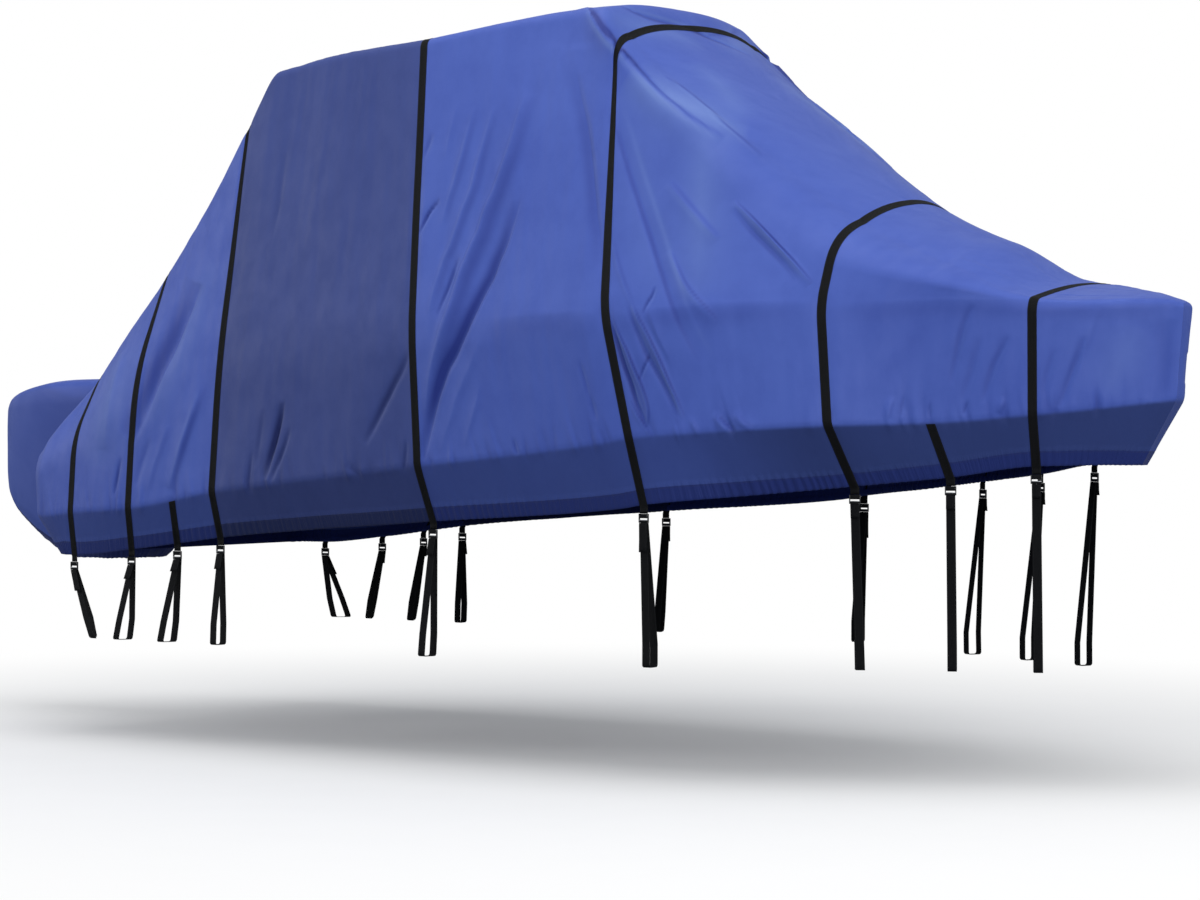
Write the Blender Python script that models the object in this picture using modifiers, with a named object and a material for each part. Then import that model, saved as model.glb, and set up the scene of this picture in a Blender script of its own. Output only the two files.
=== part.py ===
"""Fitted boat cover with a raised roof, hold-down straps and a separate stern hood.

The cover is five panels of woven polyester, seamed under four of its straps.
Webbing straps run over it from hem to hem.  Each strap ends in a buckle just
below the hem, and a tie loop of webbing hangs from every buckle.

Metres.  +X is the bow, -Y is the starboard side, +Z is up.  The origin is
under the middle of the roof.  Heights in the tables are above the ground
and are lowered by ROOF_HEIGHT through the part's parent empty.
"""
import math
from collections import namedtuple

import bmesh
import bpy
import numpy as np

PART_NAME = "boat_cover"

# Driving dimensions
ROOF_HEIGHT = 3.452        # underside of the cloth at the middle of the roof
CLOTH = 0.002              # thickness of panels and hood
HEM_BAND = 0.070           # drawcord channel above the hem
HEM_BAND_SHARE = 0.35      # and at most this share of the skirt
WEBBING = 0.0016           # thickness of straps and loops
WEBBING_WIDTH = 0.040
TOUCH = 0.0004             # clearance between pieces that touch
SEAM = 0.0016              # clearance between two panels, under a strap
SKIRT_ROUND = 0.035        # rounding where the cloth turns under
ROUND_SHARE = 0.45         # a crease is rounded back over at most this share of a side

# Buckle, and the strap that reaches down to it
BUCKLE_SIZE = (0.050, 0.012, 0.040)
BUCKLE_BEVEL = 0.003
HEM_TURN = 0.012           # strap past the hem, still on the skirt's slope
STRAP_DROP = 0.024         # strap from there straight down

# Tie loops: the foot that they pass round, and their turn at the buckle
FOOT_TOP = 0.606
FOOT_BOTTOM = 0.5035
FOOT_WIDTH = 0.066
FOOT_ROUND = 0.010
FOOT_CORNER = FOOT_ROUND / 3
RUN_GAP = 0.008            # outer run to inner run, and tail to outer run
TURN_SIDE = 0.006          # depth of the turn over the buckle's bar
INNER_SLANT = 0.65         # share of the outer run's slant

FOLD_CALM = 0.030          # folds die out this far from a strap's edge
PORT_FOLD_SHIFT = 0.06     # port folds lie this far forward of starboard's

# One row for each section, stern to bow.  x is at the upper crease, and the dx
# columns lean the section's other creases.  The gun and sho columns are the
# upper crease and the shoulder.  Crown is the rise to the centreline, power
# its squareness, and tilt how much higher the port shoulder sits.  The round
# columns say how far each crease is rounded.
Rib = namedtuple(
    "Rib",
    "x hem_dx hem_y hem_z low_dx low_y low_z gun_y gun_z "
    "sho_dx sho_y sho_z crown power tilt gun_round sho_round",
)
RIBS = (
    Rib(-2.385, 0.19, 0.86, 0.92, 0.03, 0.90, 1.115, 0.89, 1.35, 0, 0.85, 1.44, 0.02, 2.2, 0, 0.05, 0.05),
    Rib(-2.355, 0.17, 0.95, 0.92, 0.02, 0.975, 1.118, 0.97, 1.35, 0.01, 0.94, 1.45, 0.02, 2.2, 0, 0.05, 0.05),
    Rib(-2.25, 0.12, 0.985, 0.92, 0.01, 1.03, 1.12, 1.03, 1.38, 0, 0.95, 1.56, 0.03, 2.2, 0, 0.06, 0.10),
    Rib(-2.02, -0.03, 1.00, 0.92, 0.01, 1.07, 1.142, 1.03, 1.52, 0, 0.81, 1.875, 0.04, 2.2, 0, 0.12, 0.12),
    Rib(-1.58, -0.068, 1.01, 0.957, -0.01, 1.10, 1.17, 1.06, 1.80, 0, 0.80, 2.38, 0.04, 2.2, 0, 0.22, 0.10),
    Rib(-1.04, -0.03, 0.99, 1.028, 0, 1.09, 1.258, 1.03, 1.90, -0.035, 0.77, 3.08, 0.04, 2.2, 0, 0.25, 0.06),
    Rib(-0.88, -0.02, 0.99, 1.045, 0, 1.10, 1.275, 1.05, 1.92, -0.04, 0.75, 3.32, 0.03, 2.2, 0, 0.20, 0.05),
    Rib(0.20, 0.03, 1.00, 1.13, 0.03, 1.12, 1.393, 1.12, 2.015, -0.24, 0.71, 3.42, 0.03, 2.4, 0, 0.12, 0.05),
    Rib(1.14, 0.13, 1.00, 1.205, 0.12, 1.105, 1.505, 1.12, 2.06, -0.23, 0.62, 3.52, 0.045, 3.0, 0.015, 0.10, 0.06),
    Rib(1.26, 0.14, 1.00, 1.225, 0.12, 1.09, 1.526, 1.103, 2.073, -0.23, 0.66, 3.385, 0.08, 3.0, 0.035, 0.10, 0.12),
    Rib(1.68, 0.13, 0.85, 1.265, 0.10, 0.99, 1.555, 0.99, 2.09, -0.10, 0.70, 2.92, 0.115, 2.6, 0.035, 0.09, 0.13),
    Rib(2.18, 0.07, 0.62, 1.31, 0.05, 0.82, 1.58, 0.79, 2.10, 0.015, 0.68, 2.47, 0.12, 2.2, 0.05, 0.08, 0.10),
    Rib(2.60, 0.03, 0.45, 1.35, 0, 0.58, 1.592, 0.59, 2.11, 0.03, 0.58, 2.25, 0.15, 2.2, 0.02, 0.05, 0.08),
    Rib(3.00, -0.03, 0.30, 1.40, 0, 0.40, 1.628, 0.405, 2.08, 0, 0.385, 2.125, 0.08, 1.8, 0, 0.02, 0.03),
    Rib(3.38, -0.14, 0.12, 1.405, -0.02, 0.18, 1.67, 0.19, 2.09, 0, 0.17, 2.12, 0.03, 2.0, 0, 0.02, 0.03),
    Rib(3.50, -0.19, 0.07, 1.405, -0.03, 0.10, 1.685, 0.105, 2.09, 0, 0.09, 2.11, 0.01, 2.0, 0, 0.02, 0.02),
    Rib(3.54, -0.20, 0.03, 1.405, -0.03, 0.045, 1.69, 0.05, 2.085, -0.005, 0.04, 2.10, 0.005, 2.0, 0, 0.01, 0.01),
)

# Straps, stern to bow.  A short strap stops at the lower crease, a long one
# crosses the cover.  The foot columns place the lowest part of its tie loop,
# at the loop's outer face, and tail is the length of its free end.
Strap = namedtuple("Strap", "name x is_long on_seam foot_x foot_y tail")
STRAPS = (
    Strap("a", -2.02, True, False, -1.905, 1.022, 0.105),
    Strap("b", -1.58, True, False, -1.745, 1.022, 0.070),
    Strap("c", -1.30, False, False, -1.447, 1.022, 0.060),
    Strap("d", -1.05, True, True, -1.100, 1.022, 0.075),
    Strap("e", 0.20, True, True, 0.180, 1.022, 0.080),
    Strap("f", 1.26, True, True, 1.398, 0.975, 0.130),
    Strap("g", 2.18, True, True, 2.254, 0.567, 0.060),
    Strap("h", 2.60, False, False, 2.618, 0.404, 0.060),
    Strap("i", 3.00, True, False, 2.962, 0.259, 0.060),
)

# Panels, stern to bow, and their colours.  They meet under the seam straps.
PANELS = (
    ("panel_stern", "royal"),
    ("panel_center", "navy"),
    ("panel_forward", "royal"),
    ("panel_foredeck", "royal"),
    ("panel_bow", "royal"),
)

# Sections between the straps, keyed by the strap that they follow.
STATIONS = {
    "stern": (-2.385, -2.355, -2.28, -2.16),
    "a": (-1.90, -1.74),
    "b": (-1.44,),
    "c": (-1.18,),
    "d": (-0.95, -0.88, -0.75, -0.54, -0.32, -0.14, 0.04),
    "e": (0.34, 0.50, 0.66, 0.82, 0.98, 1.08, 1.14, 1.20),
    "f": (1.36, 1.52, 1.68, 1.84, 2.01),
    "g": (2.32, 2.46),
    "h": (2.73, 2.86),
    "i": (3.12, 3.25, 3.38, 3.46, 3.51, 3.54),
}

# Main folds of the starboard side, each along a route of (x, y, z) points.
# Width is the fold's half width, and a negative height is a trough.
Fold = namedtuple("Fold", "route width height")
FOLDS = (
    Fold(((0.78, -0.60, 3.50), (1.01, -0.66, 3.32), (1.46, -0.72, 2.87), (1.86, -0.70, 2.62)), 0.09, -0.030),
    Fold(((1.00, -0.80, 3.25), (1.36, -0.85, 2.80), (1.60, -0.90, 2.45), (1.95, -0.88, 2.12)), 0.10, 0.028),
    Fold(((1.68, -0.72, 2.68), (1.94, -0.76, 2.41), (2.15, -0.78, 2.15)), 0.07, -0.022),
    Fold(((1.10, -0.80, 2.95), (1.33, -0.90, 2.50), (1.48, -0.99, 2.20), (1.62, -1.04, 1.80)), 0.08, -0.020),
    Fold(((0.85, -0.75, 3.15), (0.67, -0.92, 2.66), (0.45, -1.10, 2.00), (0.28, -1.12, 1.50)), 0.10, 0.030),
    Fold(((0.95, -0.80, 2.95), (0.78, -1.00, 2.40), (0.60, -1.12, 1.90), (0.44, -1.12, 1.50)), 0.09, -0.026),
    Fold(((1.02, -0.74, 3.05), (1.08, -1.00, 2.40), (1.20, -1.11, 1.80)), 0.08, 0.018),
    Fold(((-0.55, -1.02, 2.25), (-0.66, -1.08, 1.75), (-0.72, -1.10, 1.38)), 0.08, -0.022),
    Fold(((0.10, -1.10, 2.10), (0.00, -1.12, 1.75), (-0.12, -1.11, 1.42)), 0.09, -0.018),
    Fold(((-1.18, -0.86, 2.55), (-1.38, -1.00, 2.00), (-1.52, -1.09, 1.40)), 0.08, 0.026),
    Fold(((-1.10, -0.96, 2.25), (-1.24, -1.06, 1.70), (-1.36, -1.10, 1.28)), 0.07, -0.020),
    Fold(((-1.70, -0.90, 2.10), (-1.84, -1.03, 1.70), (-1.86, -1.08, 1.30)), 0.08, -0.018),
    Fold(((2.50, -0.66, 2.15), (2.44, -0.68, 1.90), (2.36, -0.72, 1.65)), 0.07, -0.015),
    Fold(((3.25, -0.27, 2.05), (3.18, -0.29, 1.85), (3.10, -0.33, 1.68)), 0.06, -0.012),
)

# Stern hood: its ends, half width and heights, and how far each of its rows,
# hem to crown, is drawn in.  level is the share of the height.
HOOD_AFT = -3.370
HOOD_FORE = -2.3856
HOOD_HALF_WIDTH = 0.285
HOOD_TOP = 1.820
HOOD_HEM = 0.86
HOOD_HEM_RISE = 0.36       # the hem is this much higher at the aft end
HOOD_TOP_FALL = 0.11       # the top is this much lower at the aft end
HOOD_BEND = -2.76          # both begin here
HOOD_HEM_POWER = 1.5       # and grow with these powers of the distance
HOOD_TOP_POWER = 2
HOOD_CROWN = 0.006         # rise of the middle of the top
HOOD_SQUARENESS = 3.6
HOOD_SIDES = 24
HoodRow = namedtuple("HoodRow", "level inset")
HOOD_ROWS = (
    HoodRow(0.0, 0.060),
    HoodRow(0.05, 0.022),
    HoodRow(0.14, 0.004),
    HoodRow(0.32, 0.0),
    HoodRow(0.60, 0.0),
    HoodRow(0.86, 0.002),
    HoodRow(0.95, 0.014),
    HoodRow(0.985, 0.036),
    HoodRow(1.0, 0.080),
)

# Straight pieces between the creases of a half section.
SKIRT_POINTS = 3
WALL_POINTS = 1
UPPER_POINTS = 4
TOP_POINTS = 4


def slopes(xs, ys):
    """Slopes of a smooth curve through (xs, ys) that never overshoots."""
    step = np.diff(xs)[:, None]
    rise = np.diff(ys, axis=0) / step
    result = np.zeros_like(ys)
    result[0] = rise[0]
    result[-1] = rise[-1]
    before = 2 * step[1:] + step[:-1]
    after = step[1:] + 2 * step[:-1]
    same_way = rise[:-1] * rise[1:] > 0
    safe_before = np.where(same_way, rise[:-1], 1.0)
    safe_after = np.where(same_way, rise[1:], 1.0)
    mean = (before + after) / (before / safe_before + after / safe_after)
    result[1:-1] = np.where(same_way, mean, 0.0)
    return result


RIB_TABLE = np.array(RIBS, dtype=float)
RIB_X = RIB_TABLE[:, 0]
RIB_SLOPES = slopes(RIB_X, RIB_TABLE)


def rib_at(x):
    """The rib table read at any station."""
    i = int(np.clip(np.searchsorted(RIB_X, x) - 1, 0, len(RIB_X) - 2))
    step = RIB_X[i + 1] - RIB_X[i]
    t = (x - RIB_X[i]) / step
    start = RIB_TABLE[i] * (1 + 2 * t) * (1 - t) ** 2
    leave = RIB_SLOPES[i] * step * t * (1 - t) ** 2
    end = RIB_TABLE[i + 1] * t * t * (3 - 2 * t)
    arrive = RIB_SLOPES[i + 1] * step * t * t * (t - 1)
    rib = Rib(*(start + leave + end + arrive))
    return rib._replace(x=x)


def rounded(before, corner, after, reach, points):
    """Points of a crease rounded back by reach along both of its sides."""
    into = before - corner
    out = after - corner
    first = corner + into * min(reach / np.linalg.norm(into), ROUND_SHARE)
    last = corner + out * min(reach / np.linalg.norm(out), ROUND_SHARE)
    result = []
    for t in np.linspace(0, 1, points):
        result.append(first * (1 - t) ** 2 + 2 * corner * t * (1 - t) + last * t * t)
    return result


def between(start, end, count):
    """Evenly spaced points between two, without its ends."""
    return [start + (end - start) * k / (count + 1) for k in range(1, count + 1)]


def half_section(x, side):
    """Half of the section at station x, hem to centreline: side 1 is port."""
    rib = rib_at(x)
    hem = np.array((x + rib.hem_dx, rib.hem_y, rib.hem_z))
    low = np.array((x + rib.low_dx, rib.low_y, rib.low_z))
    gun = np.array((x, rib.gun_y, rib.gun_z))
    shoulder = np.array((x + rib.sho_dx, rib.sho_y, rib.sho_z + side * rib.tilt))
    middle = np.array((x + rib.sho_dx, 0.0, rib.sho_z + rib.crown))
    skirt = low - hem
    band = hem + skirt * min(HEM_BAND / np.linalg.norm(skirt), HEM_BAND_SHARE)
    low_turn = rounded(band, low, gun, SKIRT_ROUND, SKIRT_POINTS)
    gun_turn = rounded(low, gun, shoulder, rib.gun_round, 2)
    shoulder_turn = rounded(gun, shoulder, middle, rib.sho_round, 3)
    points = [hem, band, *low_turn]
    points += between(low_turn[-1], gun_turn[0], WALL_POINTS)
    points += gun_turn
    points += between(gun_turn[-1], shoulder_turn[0], UPPER_POINTS)
    points += shoulder_turn
    edge = shoulder_turn[-1]
    lean = side * rib.tilt
    fall = middle[2] + lean - edge[2]
    for k in range(1, TOP_POINTS + 1):
        out = 1 - k / TOP_POINTS
        point = middle + (edge - middle) * out
        point[2] = middle[2] + lean * out - fall * out ** rib.power
        points.append(point)
    return np.array(points) * (1, side, 1)


def section(x):
    """Section at x from the starboard hem over the top to the port hem."""
    return np.concatenate((half_section(x, -1), half_section(x, 1)[-2::-1]))


def moved_section(x, offset):
    """Section at x, moved along the cloth by a true distance."""
    probe = 0.01
    stretch = np.linalg.norm(section(x + probe) - section(x), axis=1) / probe
    rows = [section(x + offset / s)[j] for j, s in enumerate(stretch)]
    return np.array(rows)


def cover_columns():
    """Each column of the cover's grid: its key, and its points before folds."""
    columns = [(("stern", k), section(x)) for k, x in enumerate(STATIONS["stern"])]
    half_width = WEBBING_WIDTH / 2
    for strap in STRAPS:
        columns.append(((strap.name, "aft"), moved_section(strap.x, -half_width)))
        if strap.on_seam:
            columns.append(((strap.name, "seam_aft"), moved_section(strap.x, -SEAM / 2)))
            columns.append(((strap.name, "seam_fore"), moved_section(strap.x, SEAM / 2)))
        columns.append(((strap.name, "fore"), moved_section(strap.x, half_width)))
        for k, x in enumerate(STATIONS[strap.name]):
            columns.append(((strap.name, k), section(x)))
    return [key for key, rows in columns], np.array([rows for key, rows in columns])


def outward(grid):
    """Outward unit normals of a grid of points, columns by rows."""
    along = np.gradient(grid, axis=0)
    up = np.gradient(grid, axis=1)
    normal = np.cross(along, up)
    return normal / np.linalg.norm(normal, axis=2, keepdims=True)


def route_distance(points, route):
    """Distance of each point from a route, and its share of the way along."""
    route = np.array(route)
    legs = np.diff(route, axis=0)
    lengths = np.linalg.norm(legs, axis=1)
    nearest = np.full(len(points), np.inf)
    share = np.zeros(len(points))
    done = 0.0
    for start, leg, length in zip(route, legs, lengths):
        t = np.clip((points - start) @ leg / length ** 2, 0, 1)
        distance = np.linalg.norm(points - start - t[:, None] * leg, axis=1)
        closer = distance < nearest
        nearest = np.where(closer, distance, nearest)
        share = np.where(closer, (done + t * length) / lengths.sum(), share)
        done += length
    return nearest, share


def fold_heights(points):
    """Height of the folds at each point, starboard and port."""
    height = np.zeros(len(points))
    for fold in FOLDS:
        starboard = np.array(fold.route)
        port = starboard * (1, -1, 1) + (PORT_FOLD_SHIFT, 0, 0)
        for route in (starboard, port):
            distance, share = route_distance(points, route)
            taper = np.sqrt(np.sin(math.pi * share).clip(0))
            height += fold.height * taper * np.exp(-(distance / fold.width) ** 2)
    return height


def strap_calm(columns):
    """Factor for each column that flattens the folds under the straps."""
    middle_row = columns.shape[1] // 4
    result = np.ones(len(columns))
    for strap in STRAPS:
        if strap.is_long:
            centre = section(strap.x)[middle_row]
            away = np.linalg.norm(columns[:, middle_row] - centre, axis=1)
            share = ((away - WEBBING_WIDTH / 2) / FOLD_CALM).clip(0, 1)
            result = np.minimum(result, share * share * (3 - 2 * share))
    return result


def folded_cover():
    """Keys, points and outward normals of the cover's folded grid."""
    keys, grid = cover_columns()
    heights = fold_heights(grid.reshape(-1, 3)).reshape(grid.shape[:2])
    heights *= strap_calm(grid)[:, None]
    grid = grid + outward(grid) * heights[:, :, None]
    return keys, grid, outward(grid)


def end_patch(rib):
    """Grid that closes an end of the cover, rows up and columns across."""
    across = 2 * TOP_POINTS
    wall = (len(rib) - 1 - across) // 2
    left = rib[:wall + 1]
    right = rib[::-1][:wall + 1]
    top = rib[wall:wall + across + 1]
    u = ((top[:, 1] - top[0, 1]) / (top[-1, 1] - top[0, 1]))[None, :, None]
    v = ((left[:, 2] - left[0, 2]) / (left[-1, 2] - left[0, 2]))[:, None, None]
    bottom = left[0] + (right[0] - left[0]) * u
    sides = (1 - u) * left[:, None] + u * right[:, None]
    ends = (1 - v) * bottom + v * top[None]
    corners = (
        (1 - u) * (1 - v) * left[0] + u * (1 - v) * right[0]
        + (1 - u) * v * top[0] + u * v * top[-1]
    )
    return sides + ends - corners


def add_grid(mesh, grid, flip=False):
    """Add a grid of points to a bmesh as triangles facing outward."""
    rows = [[mesh.verts.new(point) for point in line] for line in grid]
    for line, following in zip(rows, rows[1:]):
        for j in range(len(line) - 1):
            corners = [line[j], following[j], following[j + 1], line[j + 1]]
            for triangle in (corners[:3], [corners[0], corners[2], corners[3]]):
                mesh.faces.new(triangle[::-1] if flip else triangle)


def new_material(name, color, roughness, metallic=0.0):
    """A Principled material of one colour."""
    material = bpy.data.materials.new(name)
    material.use_nodes = True
    shader = material.node_tree.nodes["Principled BSDF"]
    shader.inputs["Base Color"].default_value = (*color, 1.0)
    shader.inputs["Roughness"].default_value = roughness
    shader.inputs["Metallic"].default_value = metallic
    return material


def new_object(name, mesh, material, frame):
    """Object from a bmesh, in the part's collection and on its frame."""
    data = bpy.data.meshes.new(name)
    bmesh.ops.remove_doubles(mesh, verts=mesh.verts, dist=1e-6)
    mesh.to_mesh(data)
    mesh.free()
    data.materials.append(material)
    data.shade_smooth()
    item = bpy.data.objects.new(name, data)
    bpy.data.collections[PART_NAME].objects.link(item)
    item.parent = frame
    return item


def thicken(item, thickness, side):
    """Give a sheet its thickness: side -1 inward, 1 outward, 0 both ways."""
    shell = item.modifiers.new("Thickness", "SOLIDIFY")
    shell.thickness = thickness
    shell.offset = side
    shell.use_even_offset = True


def build_panels(keys, grid, materials, frame):
    """The panels, each from one seam to the next."""
    cuts = [keys.index((strap.name, "seam_fore")) for strap in STRAPS if strap.on_seam]
    starts = [0] + cuts
    ends = cuts + [len(keys)]
    for (name, color), start, end in zip(PANELS, starts, ends):
        span = grid[start:end]
        mesh = bmesh.new()
        add_grid(mesh, span)
        if name == "panel_stern":
            add_grid(mesh, end_patch(span[0]))
        if name == "panel_bow":
            add_grid(mesh, end_patch(span[-1]), flip=True)
        item = new_object(name, mesh, materials[color], frame)
        thicken(item, CLOTH, -1)


def strap_end(section, normals):
    """Points that carry a strap past the hem, from the section's first point."""
    slope = section[0] - section[1]
    turn = section[0] + slope / np.linalg.norm(slope) * HEM_TURN
    drop = turn - (0, 0, STRAP_DROP)
    lift = TOUCH * normals[0]
    return [drop + lift, turn + lift]


def strap_line(points, normals, short):
    """A strap's line over the cloth, from below the hem."""
    seated = list(points + normals * TOUCH)
    if short:
        return strap_end(points, normals) + seated[:SKIRT_POINTS + 1]
    port_end = strap_end(points[::-1], normals[::-1])
    return strap_end(points, normals) + seated + port_end[::-1]


def strap_grids(strap, keys, grid, normals):
    """The strap's grids by side: one for a long strap, two for a short one."""
    edges = ["aft", "seam_aft", "fore"] if strap.on_seam else ["aft", "fore"]
    columns = [keys.index((strap.name, edge)) for edge in edges]
    if strap.is_long:
        lines = np.array([strap_line(grid[c], normals[c], False) for c in columns])
        lines[:, 0, 2] = lines[:, 0, 2].min()
        lines[:, -1, 2] = lines[:, -1, 2].min()
        return {"": lines}
    sides = {"_starboard": slice(None), "_port": slice(None, None, -1)}
    result = {}
    for side, order in sides.items():
        lines = np.array([strap_line(grid[c][order], normals[c][order], True) for c in columns])
        lines[:, 0, 2] = lines[:, 0, 2].min()
        result[side] = lines
    return result


def build_straps(keys, grid, normals, material, frame):
    """All straps, and the places where they end, by strap and side."""
    ends = {}
    for strap in STRAPS:
        for side, lines in strap_grids(strap, keys, grid, normals).items():
            mesh = bmesh.new()
            add_grid(mesh, lines, flip=side == "_port")
            item = new_object("strap_" + strap.name + side, mesh, material, frame)
            thicken(item, WEBBING, 1)
            if strap.is_long:
                ends[strap.name, "starboard"] = (lines[0][0], lines[-1][0])
                ends[strap.name, "port"] = (lines[0][-1], lines[-1][-1])
            else:
                ends[strap.name, side[1:]] = (lines[0][0], lines[-1][0])
    return ends


def end_frame(aft, fore, side):
    """Place and turn of a strap's end: its middle, and its angle about Z."""
    width = fore - aft
    angle = math.atan2(width[1], width[0])
    outboard = np.array((math.sin(angle), -math.cos(angle), 0.0))
    if side == "port":
        outboard = -outboard
        angle += math.pi
    middle = (aft + fore) / 2 + outboard * WEBBING / 2
    return middle, angle, outboard


def build_buckle(name, place, angle, material, frame):
    """A webbing buckle hanging just below its strap."""
    mesh = bmesh.new()
    bmesh.ops.create_cube(mesh, size=1.0)
    bmesh.ops.scale(mesh, vec=BUCKLE_SIZE, verts=mesh.verts)
    item = new_object(name, mesh, material, frame)
    item.location = place - (0, 0, TOUCH + BUCKLE_SIZE[2] / 2)
    item.rotation_euler = (0, 0, angle)
    rounding = item.modifiers.new("Rounded edges", "BEVEL")
    rounding.width = BUCKLE_BEVEL
    rounding.segments = 1


def loop_route(reach, height, tail):
    """Route of a loop's webbing below its buckle, as (outboard, up, slant) points.

    It starts at the free end, turns over at the buckle, runs down outside
    the foot, under it, and back up inside.  reach is how far outboard of
    the buckle the foot's outer face lies, and height the buckle's height.
    slant is the share of the foot's shift that the point takes.
    """
    foot_top = FOOT_TOP - height
    bottom = FOOT_BOTTOM - height
    inner = reach - FOOT_WIDTH
    tail_out = RUN_GAP - reach * tail / foot_top
    return (
        (tail_out, -tail, 1),
        (RUN_GAP, -TURN_SIDE, 1),
        (RUN_GAP * 3 / 4, -WEBBING / 2, 1),
        (RUN_GAP / 4, -WEBBING / 2, 1),
        (0, -TURN_SIDE, 1),
        (reach, foot_top, 1),
        (reach, bottom + FOOT_ROUND, 1),
        (reach - FOOT_CORNER, bottom + FOOT_CORNER, 1),
        (reach - FOOT_ROUND, bottom, 1),
        (inner + FOOT_ROUND, bottom, INNER_SLANT),
        (inner + FOOT_CORNER, bottom + FOOT_CORNER, INNER_SLANT),
        (inner, bottom + FOOT_ROUND, INNER_SLANT),
        (inner, foot_top, INNER_SLANT),
        (-RUN_GAP, 0, INNER_SLANT),
    )


def build_loop(name, place, angle, reach, shift, tail, material, frame):
    """A tie loop of webbing, hanging from its buckle."""
    top = place[2] - BUCKLE_SIZE[2] - 2 * TOUCH
    route = loop_route(reach, top, tail)
    lean = shift / (FOOT_BOTTOM - top)
    mesh = bmesh.new()
    lines = []
    for edge in (-WEBBING_WIDTH / 2, WEBBING_WIDTH / 2):
        lines.append([(edge + lean * slant * up, -out, up) for out, up, slant in route])
    add_grid(mesh, lines)
    item = new_object(name, mesh, material, frame)
    item.location = (place[0], place[1], top)
    item.rotation_euler = (0, 0, angle)
    thicken(item, WEBBING, 0)


def build_ties(ends, materials, frame):
    """A buckle and a tie loop at each end of every strap."""
    for strap in STRAPS:
        for side in ("starboard", "port"):
            aft, fore = ends[strap.name, side]
            place, angle, outboard = end_frame(aft, fore, side)
            tag = strap.name + "_" + side
            build_buckle("buckle_" + tag, place, angle, materials["buckle"], frame)
            foot_y = strap.foot_y if side == "port" else -strap.foot_y
            away = (strap.foot_x - place[0], foot_y - place[1])
            reach = away[0] * outboard[0] + away[1] * outboard[1]
            shift = away[1] * outboard[0] - away[0] * outboard[1]
            build_loop(
                "tie_loop_" + tag, place, angle, reach, shift, strap.tail,
                materials["webbing"], frame,
            )


def hood_height(x, level):
    """Height of the hood's cloth at x, for a share of the way up."""
    share = max(HOOD_BEND - x, 0) / (HOOD_BEND - HOOD_AFT)
    hem = HOOD_HEM + HOOD_HEM_RISE * share ** HOOD_HEM_POWER
    top = HOOD_TOP - HOOD_TOP_FALL * share ** HOOD_TOP_POWER
    return hem + (top - hem) * level


def hood_ring(row):
    """One level ring of the hood."""
    middle = (HOOD_AFT + HOOD_FORE) / 2
    half_length = (HOOD_FORE - HOOD_AFT) / 2 - row.inset
    half_width = HOOD_HALF_WIDTH - row.inset
    power = 2 / HOOD_SQUARENESS
    ring = []
    for k in range(HOOD_SIDES):
        turn = 2 * math.pi * k / HOOD_SIDES
        c, s = math.cos(turn), math.sin(turn)
        x = middle + half_length * math.copysign(abs(c) ** power, c)
        y = half_width * math.copysign(abs(s) ** power, s)
        ring.append((x, y, hood_height(x, row.level)))
    return ring


def build_hood(material, frame):
    """The stern hood, open below."""
    mesh = bmesh.new()
    rings = [[mesh.verts.new(p) for p in hood_ring(row)] for row in HOOD_ROWS]
    for ring, above in zip(rings, rings[1:]):
        for k in range(HOOD_SIDES):
            following = (k + 1) % HOOD_SIDES
            mesh.faces.new((ring[k], ring[following], above[following], above[k]))
    middle = (HOOD_AFT + HOOD_FORE) / 2
    crown = mesh.verts.new((middle, 0, hood_height(middle, 1.0) + HOOD_CROWN))
    for k in range(HOOD_SIDES):
        mesh.faces.new((rings[-1][k], rings[-1][(k + 1) % HOOD_SIDES], crown))
    item = new_object("stern_hood", mesh, material, frame)
    thicken(item, CLOTH, -1)


def main():
    for item in list(bpy.data.objects):
        bpy.data.objects.remove(item, do_unlink=True)
    collection = bpy.data.collections.new(PART_NAME)
    bpy.context.scene.collection.children.link(collection)
    frame = bpy.data.objects.new("roof_seat", None)
    collection.objects.link(frame)
    frame.location = (0, 0, -ROOF_HEIGHT)
    materials = {
        "royal": new_material("royal_polyester", (0.075, 0.110, 0.430), 0.62),
        "navy": new_material("navy_polyester", (0.055, 0.075, 0.240), 0.66),
        "webbing": new_material("black_webbing", (0.012, 0.012, 0.014), 0.75),
        "buckle": new_material("black_acetal", (0.015, 0.015, 0.017), 0.40),
    }
    keys, grid, normals = folded_cover()
    build_panels(keys, grid, materials, frame)
    ends = build_straps(keys, grid, normals, materials["webbing"], frame)
    build_ties(ends, materials, frame)
    build_hood(materials["royal"], frame)


main()
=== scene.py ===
"""Look of the fitted boat cover: fine cloth, webbing, buckles, light and camera.

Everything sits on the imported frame.  Metres.  +X is the bow, -Y the starboard
side, +Z up.  Heights in the tables are above the ground and are lowered by
ROOF_HEIGHT when the pieces are made.
"""
import math
from collections import namedtuple

import bmesh
import bpy
import numpy as np
from mathutils import Matrix, Vector

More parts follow.
